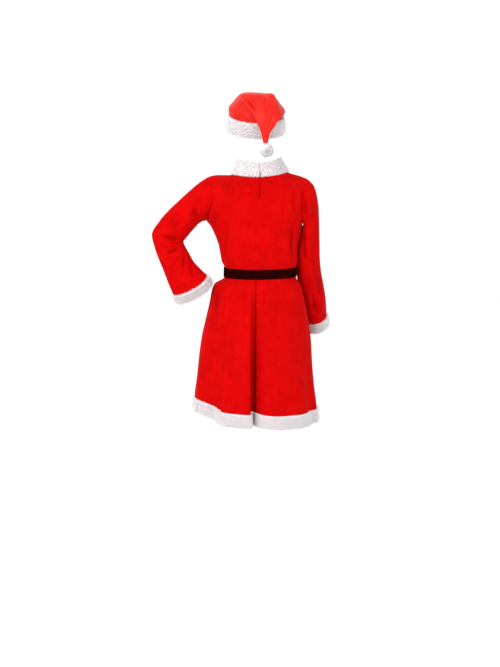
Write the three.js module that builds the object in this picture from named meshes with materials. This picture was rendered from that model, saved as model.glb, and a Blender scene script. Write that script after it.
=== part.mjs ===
// A red velvet costume dress with white plush trims, its black belt and its matching hat,
// hollow and open, in the pose that they take when worn with one hand on the hip.
// Millimetres. +Z is up, the front faces -Y, the left side of the dress is at +X.
// The origin is between the shoulders, at the base of the neck.
import * as THREE from "three";

const cloth = 1.6; // velvet and its pile
const seamGap = 0.3;
const plushOut = 5.5; // how far a plush trim stands out past the velvet, and in behind it
const plushIn = 3;
const hemLevel = -834; // lower edge of the velvet, before the skirt tilts
const beltTop = -329.5;
const beltBottom = -363.5;
const skirtTilt = 0.067; // the raised arm lifts the left side of the hem
const levelFrom = -70; // but its right side hangs level from here outwards
const sideLift = { height: 23, start: 106, reach: 134 }; // and its left edge more
const halfTurn = 180;
const radians = Math.PI / halfTurn;

// Level sections of the dress. left, right, back and front are its reach from the middle,
// and centre is where the centre back line lies.
const sections = [
  { level: -890, left: 243, right: 214, back: 178, front: 171, centre: 25 },
  { level: -834, left: 239, right: 209, back: 171, front: 164, centre: 25 },
  { level: -742, left: 228, right: 197, back: 160, front: 154, centre: 24 },
  { level: -662, left: 220, right: 190, back: 150, front: 145, centre: 23 },
  { level: -583, left: 209, right: 185, back: 141, front: 138, centre: 22 },
  { level: -518, left: 195, right: 176, back: 132, front: 131, centre: 21 },
  { level: -454, left: 181, right: 163, back: 122, front: 123, centre: 20 },
  { level: -412, left: 173, right: 153, back: 113, front: 115, centre: 19 },
  { level: -388, left: 162, right: 144, back: 105, front: 109, centre: 18 },
  { level: -368, left: 129, right: 129, back: 90, front: 99, centre: 17 },
  { level: -326, left: 128, right: 129, back: 90, front: 99, centre: 15 },
  { level: -308, left: 137, right: 134, back: 98, front: 105, centre: 14 },
  { level: -266, left: 144, right: 134, back: 99, front: 111, centre: 12 },
  { level: -216, left: 154, right: 143, back: 101, front: 122, centre: 10 },
  { level: -188, left: 168, right: 149, back: 101, front: 126, centre: 9 },
  { level: -150, left: 198, right: 154, back: 100, front: 127, centre: 8 },
];
const squareness = 2.3; // 2 would make a section an ellipse

// Soft folds of the skirt, at an angle from the left side seam through the centre back.
// reachBefore and reachAfter are degrees, out is how far it stands out, start its upper end.
const skirtFolds = [
  { angle: 40, reachBefore: 26, reachAfter: 12, out: -27, start: -520 },
  { angle: 58, reachBefore: 9, reachAfter: 16, out: 8, start: -400 },
  { angle: 138, reachBefore: 13, reachAfter: 14, out: 6, start: -450 },
  { angle: 160, reachBefore: 12, reachAfter: 10, out: -12, start: -560 },
  { angle: 205, reachBefore: 16, reachAfter: 14, out: -13, start: -430 },
  { angle: 231, reachBefore: 14, reachAfter: 11, out: 9, start: -420 },
  { angle: 250, reachBefore: 10, reachAfter: 13, out: -19, start: -400 },
  { angle: 274, reachBefore: 12, reachAfter: 15, out: 10, start: -430 },
  { angle: 299, reachBefore: 15, reachAfter: 10, out: -17, start: -410 },
  { angle: 322, reachBefore: 11, reachAfter: 14, out: 9, start: -430 },
  { angle: 345, reachBefore: 12, reachAfter: 12, out: -10, start: -500 },
];

// The deep fold down the centre back, at the hem. rest is the place along the cloth before
// it is folded, across and inward where it then lies, all from the centre back line.
const backFold = [
  { rest: -130, across: -130, inward: 0 },
  { rest: -85, across: -87, inward: -3 },
  { rest: -60, across: -64, inward: -1 },
  { rest: -45, across: -50, inward: 4 },
  { rest: -32, across: -34, inward: 16 },
  { rest: -20, across: -19, inward: 34 },
  { rest: -10, across: -8, inward: 50 },
  { rest: -1, across: 2, inward: 58 },
  { rest: 5, across: 9, inward: 55 },
  { rest: 9, across: 14, inward: 44 },
  { rest: 13, across: 13, inward: 28 },
  { rest: 17, across: 9, inward: 12 },
  { rest: 23, across: 11, inward: 1 },
  { rest: 32, across: 23, inward: -6 },
  { rest: 50, across: 45, inward: -7 },
  { rest: 75, across: 73, inward: -3 },
  { rest: 110, across: 110, inward: 0 },
];
const backFoldStart = -372;
const backFoldSpread = 3; // hem millimetres in a degree

const neckline = { x: 0, y: -5, half: 100, back: 60, front: 80, side: 10, backDip: 12, frontDip: 55 };
const collarTop = { x: 4, y: -8, half: 73, back: 54, front: 58, side: 64, backDip: 15, frontDip: 52 };
const collarTilt = -0.04;
const collarSplit = 1.2; // degrees on each side of the centre back
const slit = { foot: -82, width: 3.6 };

// Rings of the two sleeves, shoulder seam first. outX and outZ are a ring's outer point,
// inX and inZ its inner one, y its middle, front and back its reach along Y, lift how much
// its front rides up, and hollow how far an armhole is cut towards the chest.
const leftSleeve = [
  { place: 0, outX: 190, outZ: -5, inX: 193, inZ: -157, y: 0, front: 50, back: 56, lift: 0, hollow: 20 },
  { place: 28, outX: 216, outZ: -22, inX: 206, inZ: -160, y: 1, front: 54, back: 58, lift: 0, hollow: 9 },
  { place: 60, outX: 250, outZ: -50, inX: 217, inZ: -166, y: 4, front: 54, back: 56, lift: 0, hollow: 2 },
  { place: 105, outX: 290, outZ: -86, inX: 231, inZ: -180, y: 9, front: 52, back: 53, lift: 0, hollow: 0 },
  { place: 150, outX: 328, outZ: -122, inX: 248, inZ: -199, y: 15, front: 51, back: 51, lift: 0, hollow: 0 },
  { place: 195, outX: 359, outZ: -158, inX: 263, inZ: -217, y: 22, front: 49, back: 49, lift: 0, hollow: 0 },
  { place: 240, outX: 386, outZ: -207, inX: 273, inZ: -232, y: 27, front: 47, back: 47, lift: 0, hollow: 0 },
  { place: 275, outX: 376, outZ: -252, inX: 267, inZ: -247, y: 31, front: 45, back: 45, lift: 2, hollow: 0 },
  { place: 310, outX: 361, outZ: -293, inX: 254, inZ: -270, y: 36, front: 44, back: 44, lift: 6, hollow: 0 },
  { place: 345, outX: 345, outZ: -332, inX: 237, inZ: -301, y: 42, front: 43, back: 43, lift: 11, hollow: 0 },
  { place: 380, outX: 330, outZ: -370, inX: 213, inZ: -328, y: 49, front: 42, back: 42, lift: 16, hollow: 0 },
  { place: 420, outX: 311, outZ: -412, inX: 188, inZ: -352, y: 57, front: 41, back: 41, lift: 20, hollow: 0 },
];
const rightSleeve = [
  { place: 0, outX: -172, outZ: -12, inX: -153, inZ: -168, y: 0, front: 50, back: 56, lift: 0, hollow: 14 },
  { place: 30, outX: -192, outZ: -34, inX: -155, inZ: -172, y: 0, front: 53, back: 57, lift: 0, hollow: 7 },
  { place: 70, outX: -204, outZ: -72, inX: -156, inZ: -178, y: -1, front: 54, back: 56, lift: 0, hollow: 2 },
  { place: 115, outX: -211, outZ: -120, inX: -154, inZ: -187, y: -2, front: 54, back: 55, lift: 0, hollow: 0 },
  { place: 165, outX: -213, outZ: -172, inX: -148.2, inZ: -203, y: -4, front: 53, back: 54, lift: 2, hollow: 0 },
  { place: 220, outX: -215, outZ: -228, inX: -140.8, inZ: -238, y: -9, front: 52, back: 52, lift: 6, hollow: 0 },
  { place: 275, outX: -217, outZ: -283, inX: -136.4, inZ: -286, y: -18, front: 51, back: 51, lift: 10, hollow: 0 },
  { place: 325, outX: -222, outZ: -335, inX: -136, inZ: -334, y: -31, front: 51, back: 51, lift: 13, hollow: 0 },
  { place: 378, outX: -232, outZ: -386, inX: -141, inZ: -383, y: -52, front: 52, back: 52, lift: 16, hollow: 0 },
  { place: 425, outX: -241, outZ: -431, inX: -149, inZ: -427, y: -74, front: 53, back: 53, lift: 18, hollow: 0 },
  { place: 470, outX: -247, outZ: -474, inX: -155, inZ: -469, y: -94, front: 56, back: 56, lift: 19, hollow: 0 },
  { place: 525, outX: -250, outZ: -515, inX: -161, inZ: -530, y: -118, front: 59, back: 59, lift: 20, hollow: 0 },
];
const cuffLength = 38;

// Rings of the hat, lower edge of the velvet first: a point on its front or outer side, one
// on its back or inner side, its reach to each side of centre, and how square it is (2 would
// make it an ellipse). It folds over the crease at the back of the head, and its tail hangs
// down behind.
const hatRings = [
  { place: 0, outY: -112, outZ: 243, inY: 104, inZ: 181, half: 95, centre: 15, square: 2 },
  { place: 25, outY: -108, outZ: 264, inY: 108, inZ: 201, half: 101, centre: 12, square: 2 },
  { place: 60, outY: -86, outZ: 281, inY: 106, inZ: 216, half: 86, centre: 12, square: 2.3 },
  { place: 100, outY: -44, outZ: 288, inY: 101, inZ: 230, half: 75, centre: 12, square: 2.8 },
  { place: 145, outY: 6, outZ: 290, inY: 97, inZ: 240, half: 66, centre: 12, square: 3.3 },
  { place: 190, outY: 50, outZ: 289, inY: 95, inZ: 247, half: 61, centre: 11, square: 3.5 },
  { place: 225, outY: 88, outZ: 281, inY: 99, inZ: 250, half: 58, centre: 8, square: 3 },
  { place: 255, outY: 116, outZ: 259, inY: 104, inZ: 247, half: 55, centre: 3, square: 2.5 },
  { place: 285, outY: 133, outZ: 233, inY: 111, inZ: 230, half: 50, centre: -10, square: 2.2 },
  { place: 318, outY: 143, outZ: 203, inY: 121, inZ: 202, half: 43, centre: -21, square: 2 },
  { place: 345, outY: 147, outZ: 178, inY: 129, inZ: 177, half: 31, centre: -21, square: 2 },
  { place: 373, outY: 147, outZ: 150, inY: 133, inZ: 150, half: 16, centre: -17, square: 2 },
  { place: 408, outY: 144, outZ: 115, inY: 134, inZ: 115, half: 8, centre: -17, square: 2 },
];
const hatTilt = 0.05; // its left side sits higher
const hatBand = { height: 56, out: 9.5, in: 2.5, flare: 2 };
const pompom = { x: -21, y: 139, z: 88.5, radius: 24, lock: 2.6, rings: 13, locks: 18 };

// Cross-section of a plush trim: down from its seam, as a share of its height, and outwards.
const plushProfile = [
  { down: 0, out: -0.7 },
  { down: 0, out: 0.6 },
  { down: 0.14, out: 1 },
  { down: 0.86, out: 1 },
  { down: 1, out: 0.4 },
  { down: 1, out: -0.6 },
  { down: 0.86, out: -1 },
  { down: 0.14, out: -1 },
];
const hemTrim = { height: 50 };
const collarTrim = { out: 6, in: 3 };
const belt = { thickness: 2.3, start: 259, overlap: 40, climb: 16 };

// How finely the pieces are faceted.
const sideAngles = [0, 11, 21, 30, 36, 40, 45, 49, 54];
const rightBackAngles = [127, 135, 146, 157, 168, 180];
const frontSteps = 24;
const levels = [
  -834, -790, -740, -675, -620, -565, -510, -460, -418, -394, -378, -368, -326, -316, -300, -266, -222, -190,
];
const yokeSteps = 8;
const hatSides = 20;

const red = new THREE.MeshStandardMaterial({ color: 0xc8080a, roughness: 0.72, metalness: 0 });
const hatRed = new THREE.MeshStandardMaterial({ color: 0xd92216, roughness: 0.6, metalness: 0 });
const white = new THREE.MeshStandardMaterial({ color: 0xf4eeee, roughness: 0.95, metalness: 0 });
const black = new THREE.MeshStandardMaterial({ color: 0x0c0a0b, roughness: 0.55, metalness: 0 });

const cosine = (angle) => Math.cos(angle * radians);
const sine = (angle) => Math.sin(angle * radians);
const mix = THREE.MathUtils.lerp;
const clamp = THREE.MathUtils.clamp;
const vector = (x, y, z) => new THREE.Vector3(x, y, z);

// A smooth curve through every column of a table whose rows rise in the column named key.
function curveThrough(rows, key) {
  const columns = Object.keys(rows[0]);
  const last = rows.length - 1;
  const slopes = {};
  for (const column of columns) {
    const steps = rows.slice(1).map((row, i) => (row[column] - rows[i][column]) / (row[key] - rows[i][key]));
    slopes[column] = rows.map((row, i) => {
      const before = steps[Math.max(i - 1, 0)];
      const after = steps[Math.min(i, last - 1)];
      return before * after > 0 ? (2 * before * after) / (before + after) : 0;
    });
  }
  return (value) => {
    const above = rows.findIndex((row) => row[key] > value);
    const i = above < 0 ? last - 1 : Math.max(above - 1, 0);
    const span = rows[i + 1][key] - rows[i][key];
    const s = clamp((value - rows[i][key]) / span, 0, 1);
    const result = {};
    for (const column of columns) {
      const start = rows[i][column];
      const end = rows[i + 1][column];
      const ease = s * s * (3 - 2 * s);
      const startPull = s * (1 - s) * (1 - s) * span * slopes[column][i];
      const endPull = s * s * (1 - s) * span * slopes[column][i + 1];
      result[column] = start + (end - start) * ease + startPull - endPull;
    }
    return result;
  };
}

const sectionAt = curveThrough(sections, "level");
const backFoldAt = curveThrough(backFold, "rest");

// How far a fold that starts at one level has opened at another: 0 at its start, 1 at the hem.
function opening(start, level) {
  const share = clamp((start - level) / (start - hemLevel), 0, 1.1);
  return share * (1.4 - 0.4 * share);
}

// One soft fold: 1 on its crest, 0 past its reach.
function foldShape(fold, angle) {
  const turn = ((((angle - fold.angle + halfTurn) % 360) + 360) % 360) - halfTurn;
  const reach = turn < 0 ? fold.reachBefore : fold.reachAfter;
  return Math.abs(turn) < reach ? (1 + cosine((halfTurn * turn) / reach)) / 2 : 0;
}

// A point of the dress below the armholes, seen from above at an angle from the left side
// seam: 90 is the centre back, 180 the right side seam, 270 the centre front.
function bodyPoint(angle, level) {
  const section = sectionAt(level);
  const open = opening(backFoldStart, level);
  const rest = (90 - angle) * backFoldSpread;
  const folded = Math.abs(rest) < 130 ? backFoldAt(rest) : { across: rest, inward: 0 };
  const turned = 90 - mix(rest, folded.across, open) / backFoldSpread;
  const across = cosine(turned) > 0 ? section.left - section.centre : section.right + section.centre;
  const deep = sine(turned) > 0 ? section.back : section.front;
  const radius =
    (Math.abs(cosine(turned) / across) ** squareness + Math.abs(sine(turned) / deep) ** squareness) **
    (-1 / squareness);
  let reach = radius - folded.inward * open;
  for (const fold of skirtFolds) reach += fold.out * foldShape(fold, angle) * opening(fold.start, level);
  const x = section.centre + reach * cosine(turned);
  const lowered = clamp((beltBottom - level) / (beltBottom - hemLevel), 0, 1);
  const lift = sideLift.height * THREE.MathUtils.smoothstep(x, sideLift.start, sideLift.start + sideLift.reach);
  return vector(x, reach * sine(turned), level + (Math.max(x, levelFrom) * skirtTilt + lift) * lowered);
}

// A point of a sleeve's ring: 0 is its outer point, 90 its front, 180 its inner point.
function sleevePoint(ring, angle) {
  const middleX = (ring.outX + ring.inX) / 2;
  const middleZ = (ring.outZ + ring.inZ) / 2;
  const across = sine(angle);
  const towardsChest = Math.sign(ring.outX) * ring.hollow * across * across;
  return vector(
    middleX + (ring.outX - middleX) * cosine(angle) - towardsChest,
    ring.y - (across > 0 ? ring.front : ring.back) * across,
    middleZ + (ring.outZ - middleZ) * cosine(angle) + ring.lift * across,
  );
}

// A point of the neckline or of the collar's upper edge, at an angle as on the body.
function neckPoint(loop, angle) {
  const across = sine(angle);
  const isBack = across > 0;
  const x = loop.x + loop.half * cosine(angle);
  const z = loop.side - (isBack ? loop.backDip : loop.frontDip) * across * across;
  return vector(x, loop.y + (isBack ? loop.back : loop.front) * across, z + collarTilt * x);
}

const underarm = (angle) => mix(rightSleeve[0].inZ, leftSleeve[0].inZ, (1 + cosine(angle)) / 2);

// The upper edge of a panel: its shoulder seam as far as the neck, then the neckline.
function panelTop(angle, isBack) {
  const fromSide = shareFromSide(angle, isBack);
  const isLeft = cosine(angle) > 0;
  const sleeve = isLeft ? leftSleeve[0] : rightSleeve[0];
  const neckSide = neckPoint(neckline, isLeft ? 0 : halfTurn);
  if (fromSide < 0.5) return sleevePoint(sleeve, 0).lerp(neckSide, fromSide * 2);
  return neckPoint(neckline, neckAngle(angle, isBack));
}

// How far an angle is from the nearest side seam, 1 at the centre line of its panel.
function shareFromSide(angle, isBack) {
  return 1 - Math.abs(angle - (isBack ? 90 : 270)) / 90;
}

// The place on the neckline over a panel's column.
function neckAngle(angle, isBack) {
  const turn = (shareFromSide(angle, isBack) - 0.5) * halfTurn;
  const around = cosine(angle) > 0 ? turn : halfTurn - turn;
  return isBack ? around : 360 - around;
}

// A point above the underarms: height runs from 0 there to 1 at the shoulder and neckline.
// It is blended from the four edges of its quarter of the body.
function yokePoint(angle, height, isBack) {
  const fromSide = shareFromSide(angle, isBack);
  const isLeft = cosine(angle) > 0;
  const middle = isBack ? 90 : 270;
  const sleeve = isLeft ? leftSleeve[0] : rightSleeve[0];
  const armhole = sleevePoint(sleeve, (isBack ? -1 : 1) * halfTurn * (1 - height));
  const foot = bodyPoint(angle, underarm(angle));
  const footSide = sleevePoint(sleeve, halfTurn);
  const footMiddle = bodyPoint(middle, underarm(middle));
  const top = panelTop(angle, isBack);
  const topSide = sleevePoint(sleeve, 0);
  const topMiddle = neckPoint(neckline, middle);
  const result = vector(0, 0, 0);
  for (const axis of ["x", "y", "z"]) {
    const rise = axis === "y" ? height ** 1.8 : height;
    const centreLine = mix(footMiddle[axis], topMiddle[axis], rise);
    const corners = mix(mix(footSide[axis], topSide[axis], rise), centreLine, fromSide);
    result[axis] =
      mix(armhole[axis], centreLine, fromSide) + mix(foot[axis], top[axis], rise) - corners;
  }
  return result;
}

// The outward directions of a grid of points. A piece that meets another at an edge drops
// the part of its direction that crosses the seam, so the two walls stay side by side.
function directions(grid, closed, seams) {
  const rows = grid.length;
  const count = grid[0].length;
  return grid.map((row, i) =>
    row.map((point, j) => {
      const before = closed ? (j + count - 1) % count : Math.max(j - 1, 0);
      const after = closed ? (j + 1) % count : Math.min(j + 1, count - 1);
      const along = grid[Math.min(i + 1, rows - 1)][j].clone().sub(grid[Math.max(i - 1, 0)][j]);
      const around = row[after].clone().sub(row[before]);
      const outward = around.cross(along).normalize();
      for (const seam of seams) {
        if (seam.meets(i, j)) outward.addScaledVector(seam.across, -outward.dot(seam.across)).normalize();
      }
      return outward;
    }),
  );
}

// A wall between two grids of points. A cell that isOpen names is left out, as in a slit,
// and a capped tube is closed over its last ring.
function wall(outer, inner, closed, isOpen = () => false, capped = false) {
  const rows = outer.length;
  const count = outer[0].length;
  const points = [...outer.flat(), ...inner.flat()];
  const faces = [];
  const id = (i, j, side) => side * rows * count + i * count + (closed ? j % count : j);
  const cells = closed ? count : count - 1;
  const isWhole = (i, j) => {
    if (i < 0 || i > rows - 2) return false;
    if (!closed && (j < 0 || j > cells - 1)) return false;
    return !isOpen(i, (j + count) % count);
  };
  const quad = (a, b, c, d) => faces.push(a, b, c, a, c, d);
  for (let i = 0; i < rows - 1; i++) {
    for (let j = 0; j < cells; j++) {
      if (!isWhole(i, j)) continue;
      quad(id(i, j, 0), id(i, j + 1, 0), id(i + 1, j + 1, 0), id(i + 1, j, 0));
      quad(id(i + 1, j, 1), id(i + 1, j + 1, 1), id(i, j + 1, 1), id(i, j, 1));
      if (!isWhole(i - 1, j)) quad(id(i, j, 1), id(i, j + 1, 1), id(i, j + 1, 0), id(i, j, 0));
      if (!isWhole(i + 1, j) && !capped) {
        quad(id(i + 1, j, 0), id(i + 1, j + 1, 0), id(i + 1, j + 1, 1), id(i + 1, j, 1));
      }
      if (!isWhole(i, j - 1)) quad(id(i + 1, j, 0), id(i + 1, j, 1), id(i, j, 1), id(i, j, 0));
      if (!isWhole(i, j + 1)) quad(id(i, j + 1, 0), id(i, j + 1, 1), id(i + 1, j + 1, 1), id(i + 1, j + 1, 0));
    }
  }
  if (capped) {
    [outer, inner].forEach((grid, side) => {
      const ends = points.push(middleOf(grid[rows - 1])) - 1;
      for (let j = 0; j < count; j++) {
        const [a, b] = [id(rows - 1, j, side), id(rows - 1, j + 1, side)];
        faces.push(ends, side ? b : a, side ? a : b);
      }
    });
  }
  return solid(points, faces);
}

const middleOf = (ring) => {
  return ring.reduce((sum, point) => sum.add(point), vector(0, 0, 0)).divideScalar(ring.length);
};

// A closed solid from points and faces, turned so that its faces point out.
function solid(points, faces) {
  let volume = 0;
  for (let i = 0; i < faces.length; i += 3) {
    const [a, b, c] = faces.slice(i, i + 3).map((corner) => points[corner]);
    volume += a.clone().cross(b).dot(c);
  }
  const turned = volume < 0 ? faces.slice().reverse() : faces;
  const geometry = new THREE.BufferGeometry().setFromPoints(points);
  geometry.setIndex(turned);
  return geometry;
}

// The velvet wall that lies inside a grid of its outer points.
function velvet(grid, closed, seams, isOpen, capped) {
  const outward = directions(grid, closed, seams);
  const inner = grid.map((row, i) => row.map((point, j) => point.clone().addScaledVector(outward[i][j], -cloth)));
  if (capped) inner.at(-1).forEach((point) => point.addScaledVector(capped, -cloth));
  return wall(grid, inner, closed, isOpen, Boolean(capped));
}

// A band swept along stations, each with its seam edge, its direction down and its direction
// out. The profile gives the corners of its section.
function band(stations, closed, height, out, inside) {
  const rows = stations.map((station) => {
    return plushProfile.map((corner) => {
      const offset = corner.out * (corner.out > 0 ? out : inside);
      return station.edge
        .clone()
        .addScaledVector(station.down, corner.down * (station.height ?? height))
        .addScaledVector(station.out, offset);
    });
  });
  return sweep(rows, closed);
}

// A tube through rings of points, with flat ends where it isn't closed on itself.
function sweep(rows, closed) {
  const count = rows[0].length;
  const faces = [];
  const id = (i, j) => (i % rows.length) * count + (j % count);
  for (let i = 0; i < (closed ? rows.length : rows.length - 1); i++) {
    for (let j = 0; j < count; j++) {
      faces.push(id(i, j), id(i, j + 1), id(i + 1, j + 1), id(i, j), id(i + 1, j + 1), id(i + 1, j));
    }
  }
  if (!closed) {
    const end = rows.length - 1;
    for (let j = 1; j < count - 1; j++) {
      faces.push(id(0, 0), id(0, j + 1), id(0, j), id(end, 0), id(end, j), id(end, j + 1));
    }
  }
  return solid(rows.flat(), faces);
}

const foldRests = backFold.map((row) => row.rest);
const seamY = vector(0, 1, 0);
const upwards = vector(0, 0, 1);

// The columns of the back, from the left side seam to the right one. The two at the centre
// back stand apart, so that the slit runs between them.
function backAngles() {
  const folded = foldRests.filter((rest) => Math.abs(rest + 1) > 1 && rest < 110 && rest > -130);
  const angles = folded.map((rest) => 90 - rest / backFoldSpread);
  angles.push(90 - 0.5, 90 + 0.5);
  return [...sideAngles, ...angles, ...rightBackAngles].sort((a, b) => a - b);
}

const frontAngles = Array.from({ length: frontSteps + 1 }, (step, i) => halfTurn + (halfTurn * i) / frontSteps);

function panelGrid(angles, isBack) {
  const seamShift = isBack ? seamGap / 2 : -seamGap / 2;
  const rows = levels.map((level) => angles.map((angle) => bodyPoint(angle, level)));
  for (let i = 0; i <= yokeSteps; i++) {
    rows.push(angles.map((angle) => yokePoint(angle, i / yokeSteps, isBack)));
  }
  const lastColumn = angles.length - 1;
  rows.forEach((row, i) => {
    const onYoke = i - levels.length;
    if (onYoke <= 0) {
      row[0].y += seamShift;
      row[lastColumn].y += seamShift;
    }
    if (onYoke === yokeSteps) {
      row.forEach((point, j) => {
        if (onShoulder(angles[j], isBack)) point.y += seamShift;
      });
    }
  });
  return rows;
}

const onShoulder = (angle, isBack) => shareFromSide(angle, isBack) <= 0.5;

function panelSeams(angles, isBack) {
  const top = levels.length + yokeSteps;
  const last = angles.length - 1;
  return [
    { across: seamY, meets: (i, j) => i <= levels.length && (j === 0 || j === last) },
    { across: seamY, meets: (i, j) => i === top && onShoulder(angles[j], isBack) },
    { across: upwards, meets: (i) => i === 0 },
  ];
}

function backPanel() {
  const angles = backAngles();
  const grid = panelGrid(angles, true);
  const middle = angles.findIndex((angle) => angle > 90) - 1;
  const top = neckPoint(neckline, 90).z;
  for (const row of grid.slice(levels.length)) {
    const [left, right] = [row[middle], row[middle + 1]];
    const share = clamp((left.z - slit.foot) / (top - slit.foot), 0, 1);
    const centre = (left.x + right.x) / 2;
    left.x = centre + 0.4 + (slit.width / 2) * share;
    right.x = centre - 0.4 - (slit.width / 2) * share;
  }
  const isSlit = (i, j) => j === middle && i >= levels.length && grid[i][j].z > slit.foot - 1;
  return velvet(grid, false, panelSeams(angles, true), isSlit);
}

function frontPanel() {
  return velvet(panelGrid(frontAngles, false), false, panelSeams(frontAngles, false));
}

// The angles round a sleeve match the rows of the panels at its armhole.
const sleeveAngles = Array.from({ length: yokeSteps * 2 }, (step, i) => (i * halfTurn) / yokeSteps);

function sleeveGrid(rings) {
  return rings.map((ring) => sleeveAngles.map((angle) => sleevePoint(ring, angle)));
}

// The way that a sleeve's last ring faces, towards the hand.
function sleeveEnd(rings) {
  const ring = rings[rings.length - 1];
  const [top, front, under] = [0, 90, halfTurn].map((angle) => sleevePoint(ring, angle));
  const facing = top.clone().sub(under).cross(front.clone().sub(under)).normalize();
  return facing.z > 0 ? facing.negate() : facing;
}

function sleeve(rings) {
  const grid = sleeveGrid(rings);
  const aside = vector(Math.sign(rings[0].outX), 0, 0);
  grid[0].forEach((point) => point.addScaledVector(aside, seamGap));
  const seams = [
    { across: aside, meets: (i) => i === 0 },
    { across: sleeveEnd(rings), meets: (i) => i === rings.length - 1 },
  ];
  return velvet(grid, true, seams);
}

function cuff(rings) {
  const last = rings[rings.length - 1];
  const down = sleeveEnd(rings);
  const points = sleeveAngles.map((angle) => sleevePoint(last, angle));
  const centre = middleOf(points);
  const stations = points.map((point) => ({
    edge: point.clone().addScaledVector(down, seamGap),
    down,
    out: point.clone().sub(centre).normalize(),
  }));
  return band(stations, true, cuffLength, plushOut, plushIn);
}

function collar() {
  const overBack = backAngles().filter((angle) => !onShoulder(angle, true)).map((angle) => neckAngle(angle, true));
  const overFront = frontAngles.filter((angle) => shareFromSide(angle, false) >= 0.5);
  const around = [...overBack, ...overFront.map((angle) => neckAngle(angle, false))];
  const apart = around.filter((angle) => Math.abs(angle - 90) > collarSplit * 2);
  const turned = [...apart, 90 - collarSplit, 90 + collarSplit].map((angle) => (angle < 90 ? angle + 360 : angle));
  const stations = turned.sort((a, b) => a - b).map((angle) => {
    const foot = neckPoint(neckline, angle);
    foot.z += seamGap;
    const up = neckPoint(collarTop, angle).sub(foot);
    const height = up.length();
    return { edge: foot, down: up.normalize(), out: vector(cosine(angle), sine(angle), 0), height };
  });
  return band(stations, false, 1, collarTrim.out, collarTrim.in);
}

// The plush band along the hem carries on from the lower edge of the velvet.
function hemBand() {
  const angles = [...backAngles(), ...frontAngles.slice(1, -1)];
  const reach = 0.4; // degrees to each side, for the direction round the hem
  const stations = angles.map((angle) => {
    const edge = bodyPoint(angle, hemLevel);
    const down = bodyPoint(angle, hemLevel - hemTrim.height).sub(edge).normalize();
    const around = bodyPoint(angle + reach, hemLevel).sub(bodyPoint(angle - reach, hemLevel));
    const out = around.cross(down).normalize().negate();
    return { edge: edge.addScaledVector(down, seamGap), down, out };
  });
  return band(stations, true, hemTrim.height, plushOut, plushIn);
}

// The belt goes once round the waist, and its free end lies over its start at the front.
function beltBand() {
  const angles = [...backAngles(), ...frontAngles.slice(1, -1)];
  const end = belt.start + 360 + belt.overlap;
  const laps = [...angles, ...angles.map((angle) => angle + 360)];
  const path = laps.filter((angle) => angle >= belt.start && angle <= end);
  const lapOut = belt.thickness + seamGap;
  const rows = path.map((angle) => {
    const lap = clamp((angle - belt.start - 360 + belt.climb) / belt.climb, 0, 1) * lapOut;
    const corner = (level, out) => {
      const point = bodyPoint(angle, level);
      const reach = 1;
      const around = bodyPoint(angle + reach, level).sub(bodyPoint(angle - reach, level));
      return point.addScaledVector(vector(around.y, -around.x, 0).normalize(), out + lap);
    };
    const [near, far] = [seamGap * 2, seamGap * 2 + belt.thickness];
    return [corner(beltTop, near), corner(beltTop, far), corner(beltBottom, far), corner(beltBottom, near)];
  });
  return sweep(rows, false);
}

function hatPoint(ring, angle) {
  const squared = (value) => Math.sign(value) * Math.abs(value) ** (2 / ring.square);
  const x = ring.centre + ring.half * squared(sine(angle));
  const share = (1 + squared(cosine(angle))) / 2;
  const tilt = hatTilt * (x - hatRings[0].centre);
  return vector(x, mix(ring.inY, ring.outY, share), mix(ring.inZ, ring.outZ, share) + tilt);
}

const hatAngles = Array.from({ length: hatSides }, (step, i) => (i * 360) / hatSides);

function hatCrown() {
  const grid = hatRings.map((ring) => hatAngles.map((angle) => hatPoint(ring, angle)));
  const seams = [
    { across: upwards, meets: (i) => i === 0 },
    { across: upwards, meets: (i) => i === hatRings.length - 1 },
  ];
  return velvet(grid, true, seams, () => false, upwards.clone().negate());
}

// The hat's plush band hangs from the lower edge of its velvet.
function hatBandSolid() {
  const first = hatRings[0];
  const down = vector(0, (first.inZ - first.outZ) / (first.inY - first.outY), -1).normalize();
  const stations = hatAngles.map((angle) => {
    const point = hatPoint(first, angle);
    const out = vector(sine(angle), -cosine(angle), 0);
    const drop = down.clone().multiplyScalar(hatBand.height).addScaledVector(out, hatBand.flare).normalize();
    return { edge: point.addScaledVector(down, seamGap), down: drop, out };
  });
  return band(stations, true, hatBand.height, hatBand.out, hatBand.in);
}

// A ball of short locks: every second point of each ring stands out.
function pompomBall() {
  const points = [];
  const faces = [];
  const { rings, locks, radius, lock } = pompom;
  for (let i = 1; i < rings; i++) {
    const fall = (halfTurn * i) / rings;
    for (let j = 0; j < locks; j++) {
      const reach = (i + j) % 2 ? radius : radius - lock;
      const turn = (360 * j) / locks;
      const ring = reach * sine(fall);
      points.push(vector(ring * cosine(turn), ring * sine(turn), reach * cosine(fall)));
    }
  }
  const [top, bottom] = [points.length, points.length + 1];
  points.push(vector(0, 0, radius), vector(0, 0, -radius));
  const id = (i, j) => i * locks + (j % locks);
  for (let j = 0; j < locks; j++) {
    faces.push(top, id(0, j), id(0, j + 1), bottom, id(rings - 2, j + 1), id(rings - 2, j));
    for (let i = 0; i < rings - 2; i++) {
      faces.push(id(i, j), id(i + 1, j), id(i + 1, j + 1), id(i, j), id(i + 1, j + 1), id(i, j + 1));
    }
  }
  return solid(points, faces);
}

const group = new THREE.Group();

function add(name, geometry, material) {
  const mesh = new THREE.Mesh(geometry, material.clone());
  mesh.name = name;
  group.add(mesh);
  return mesh;
}

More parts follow.
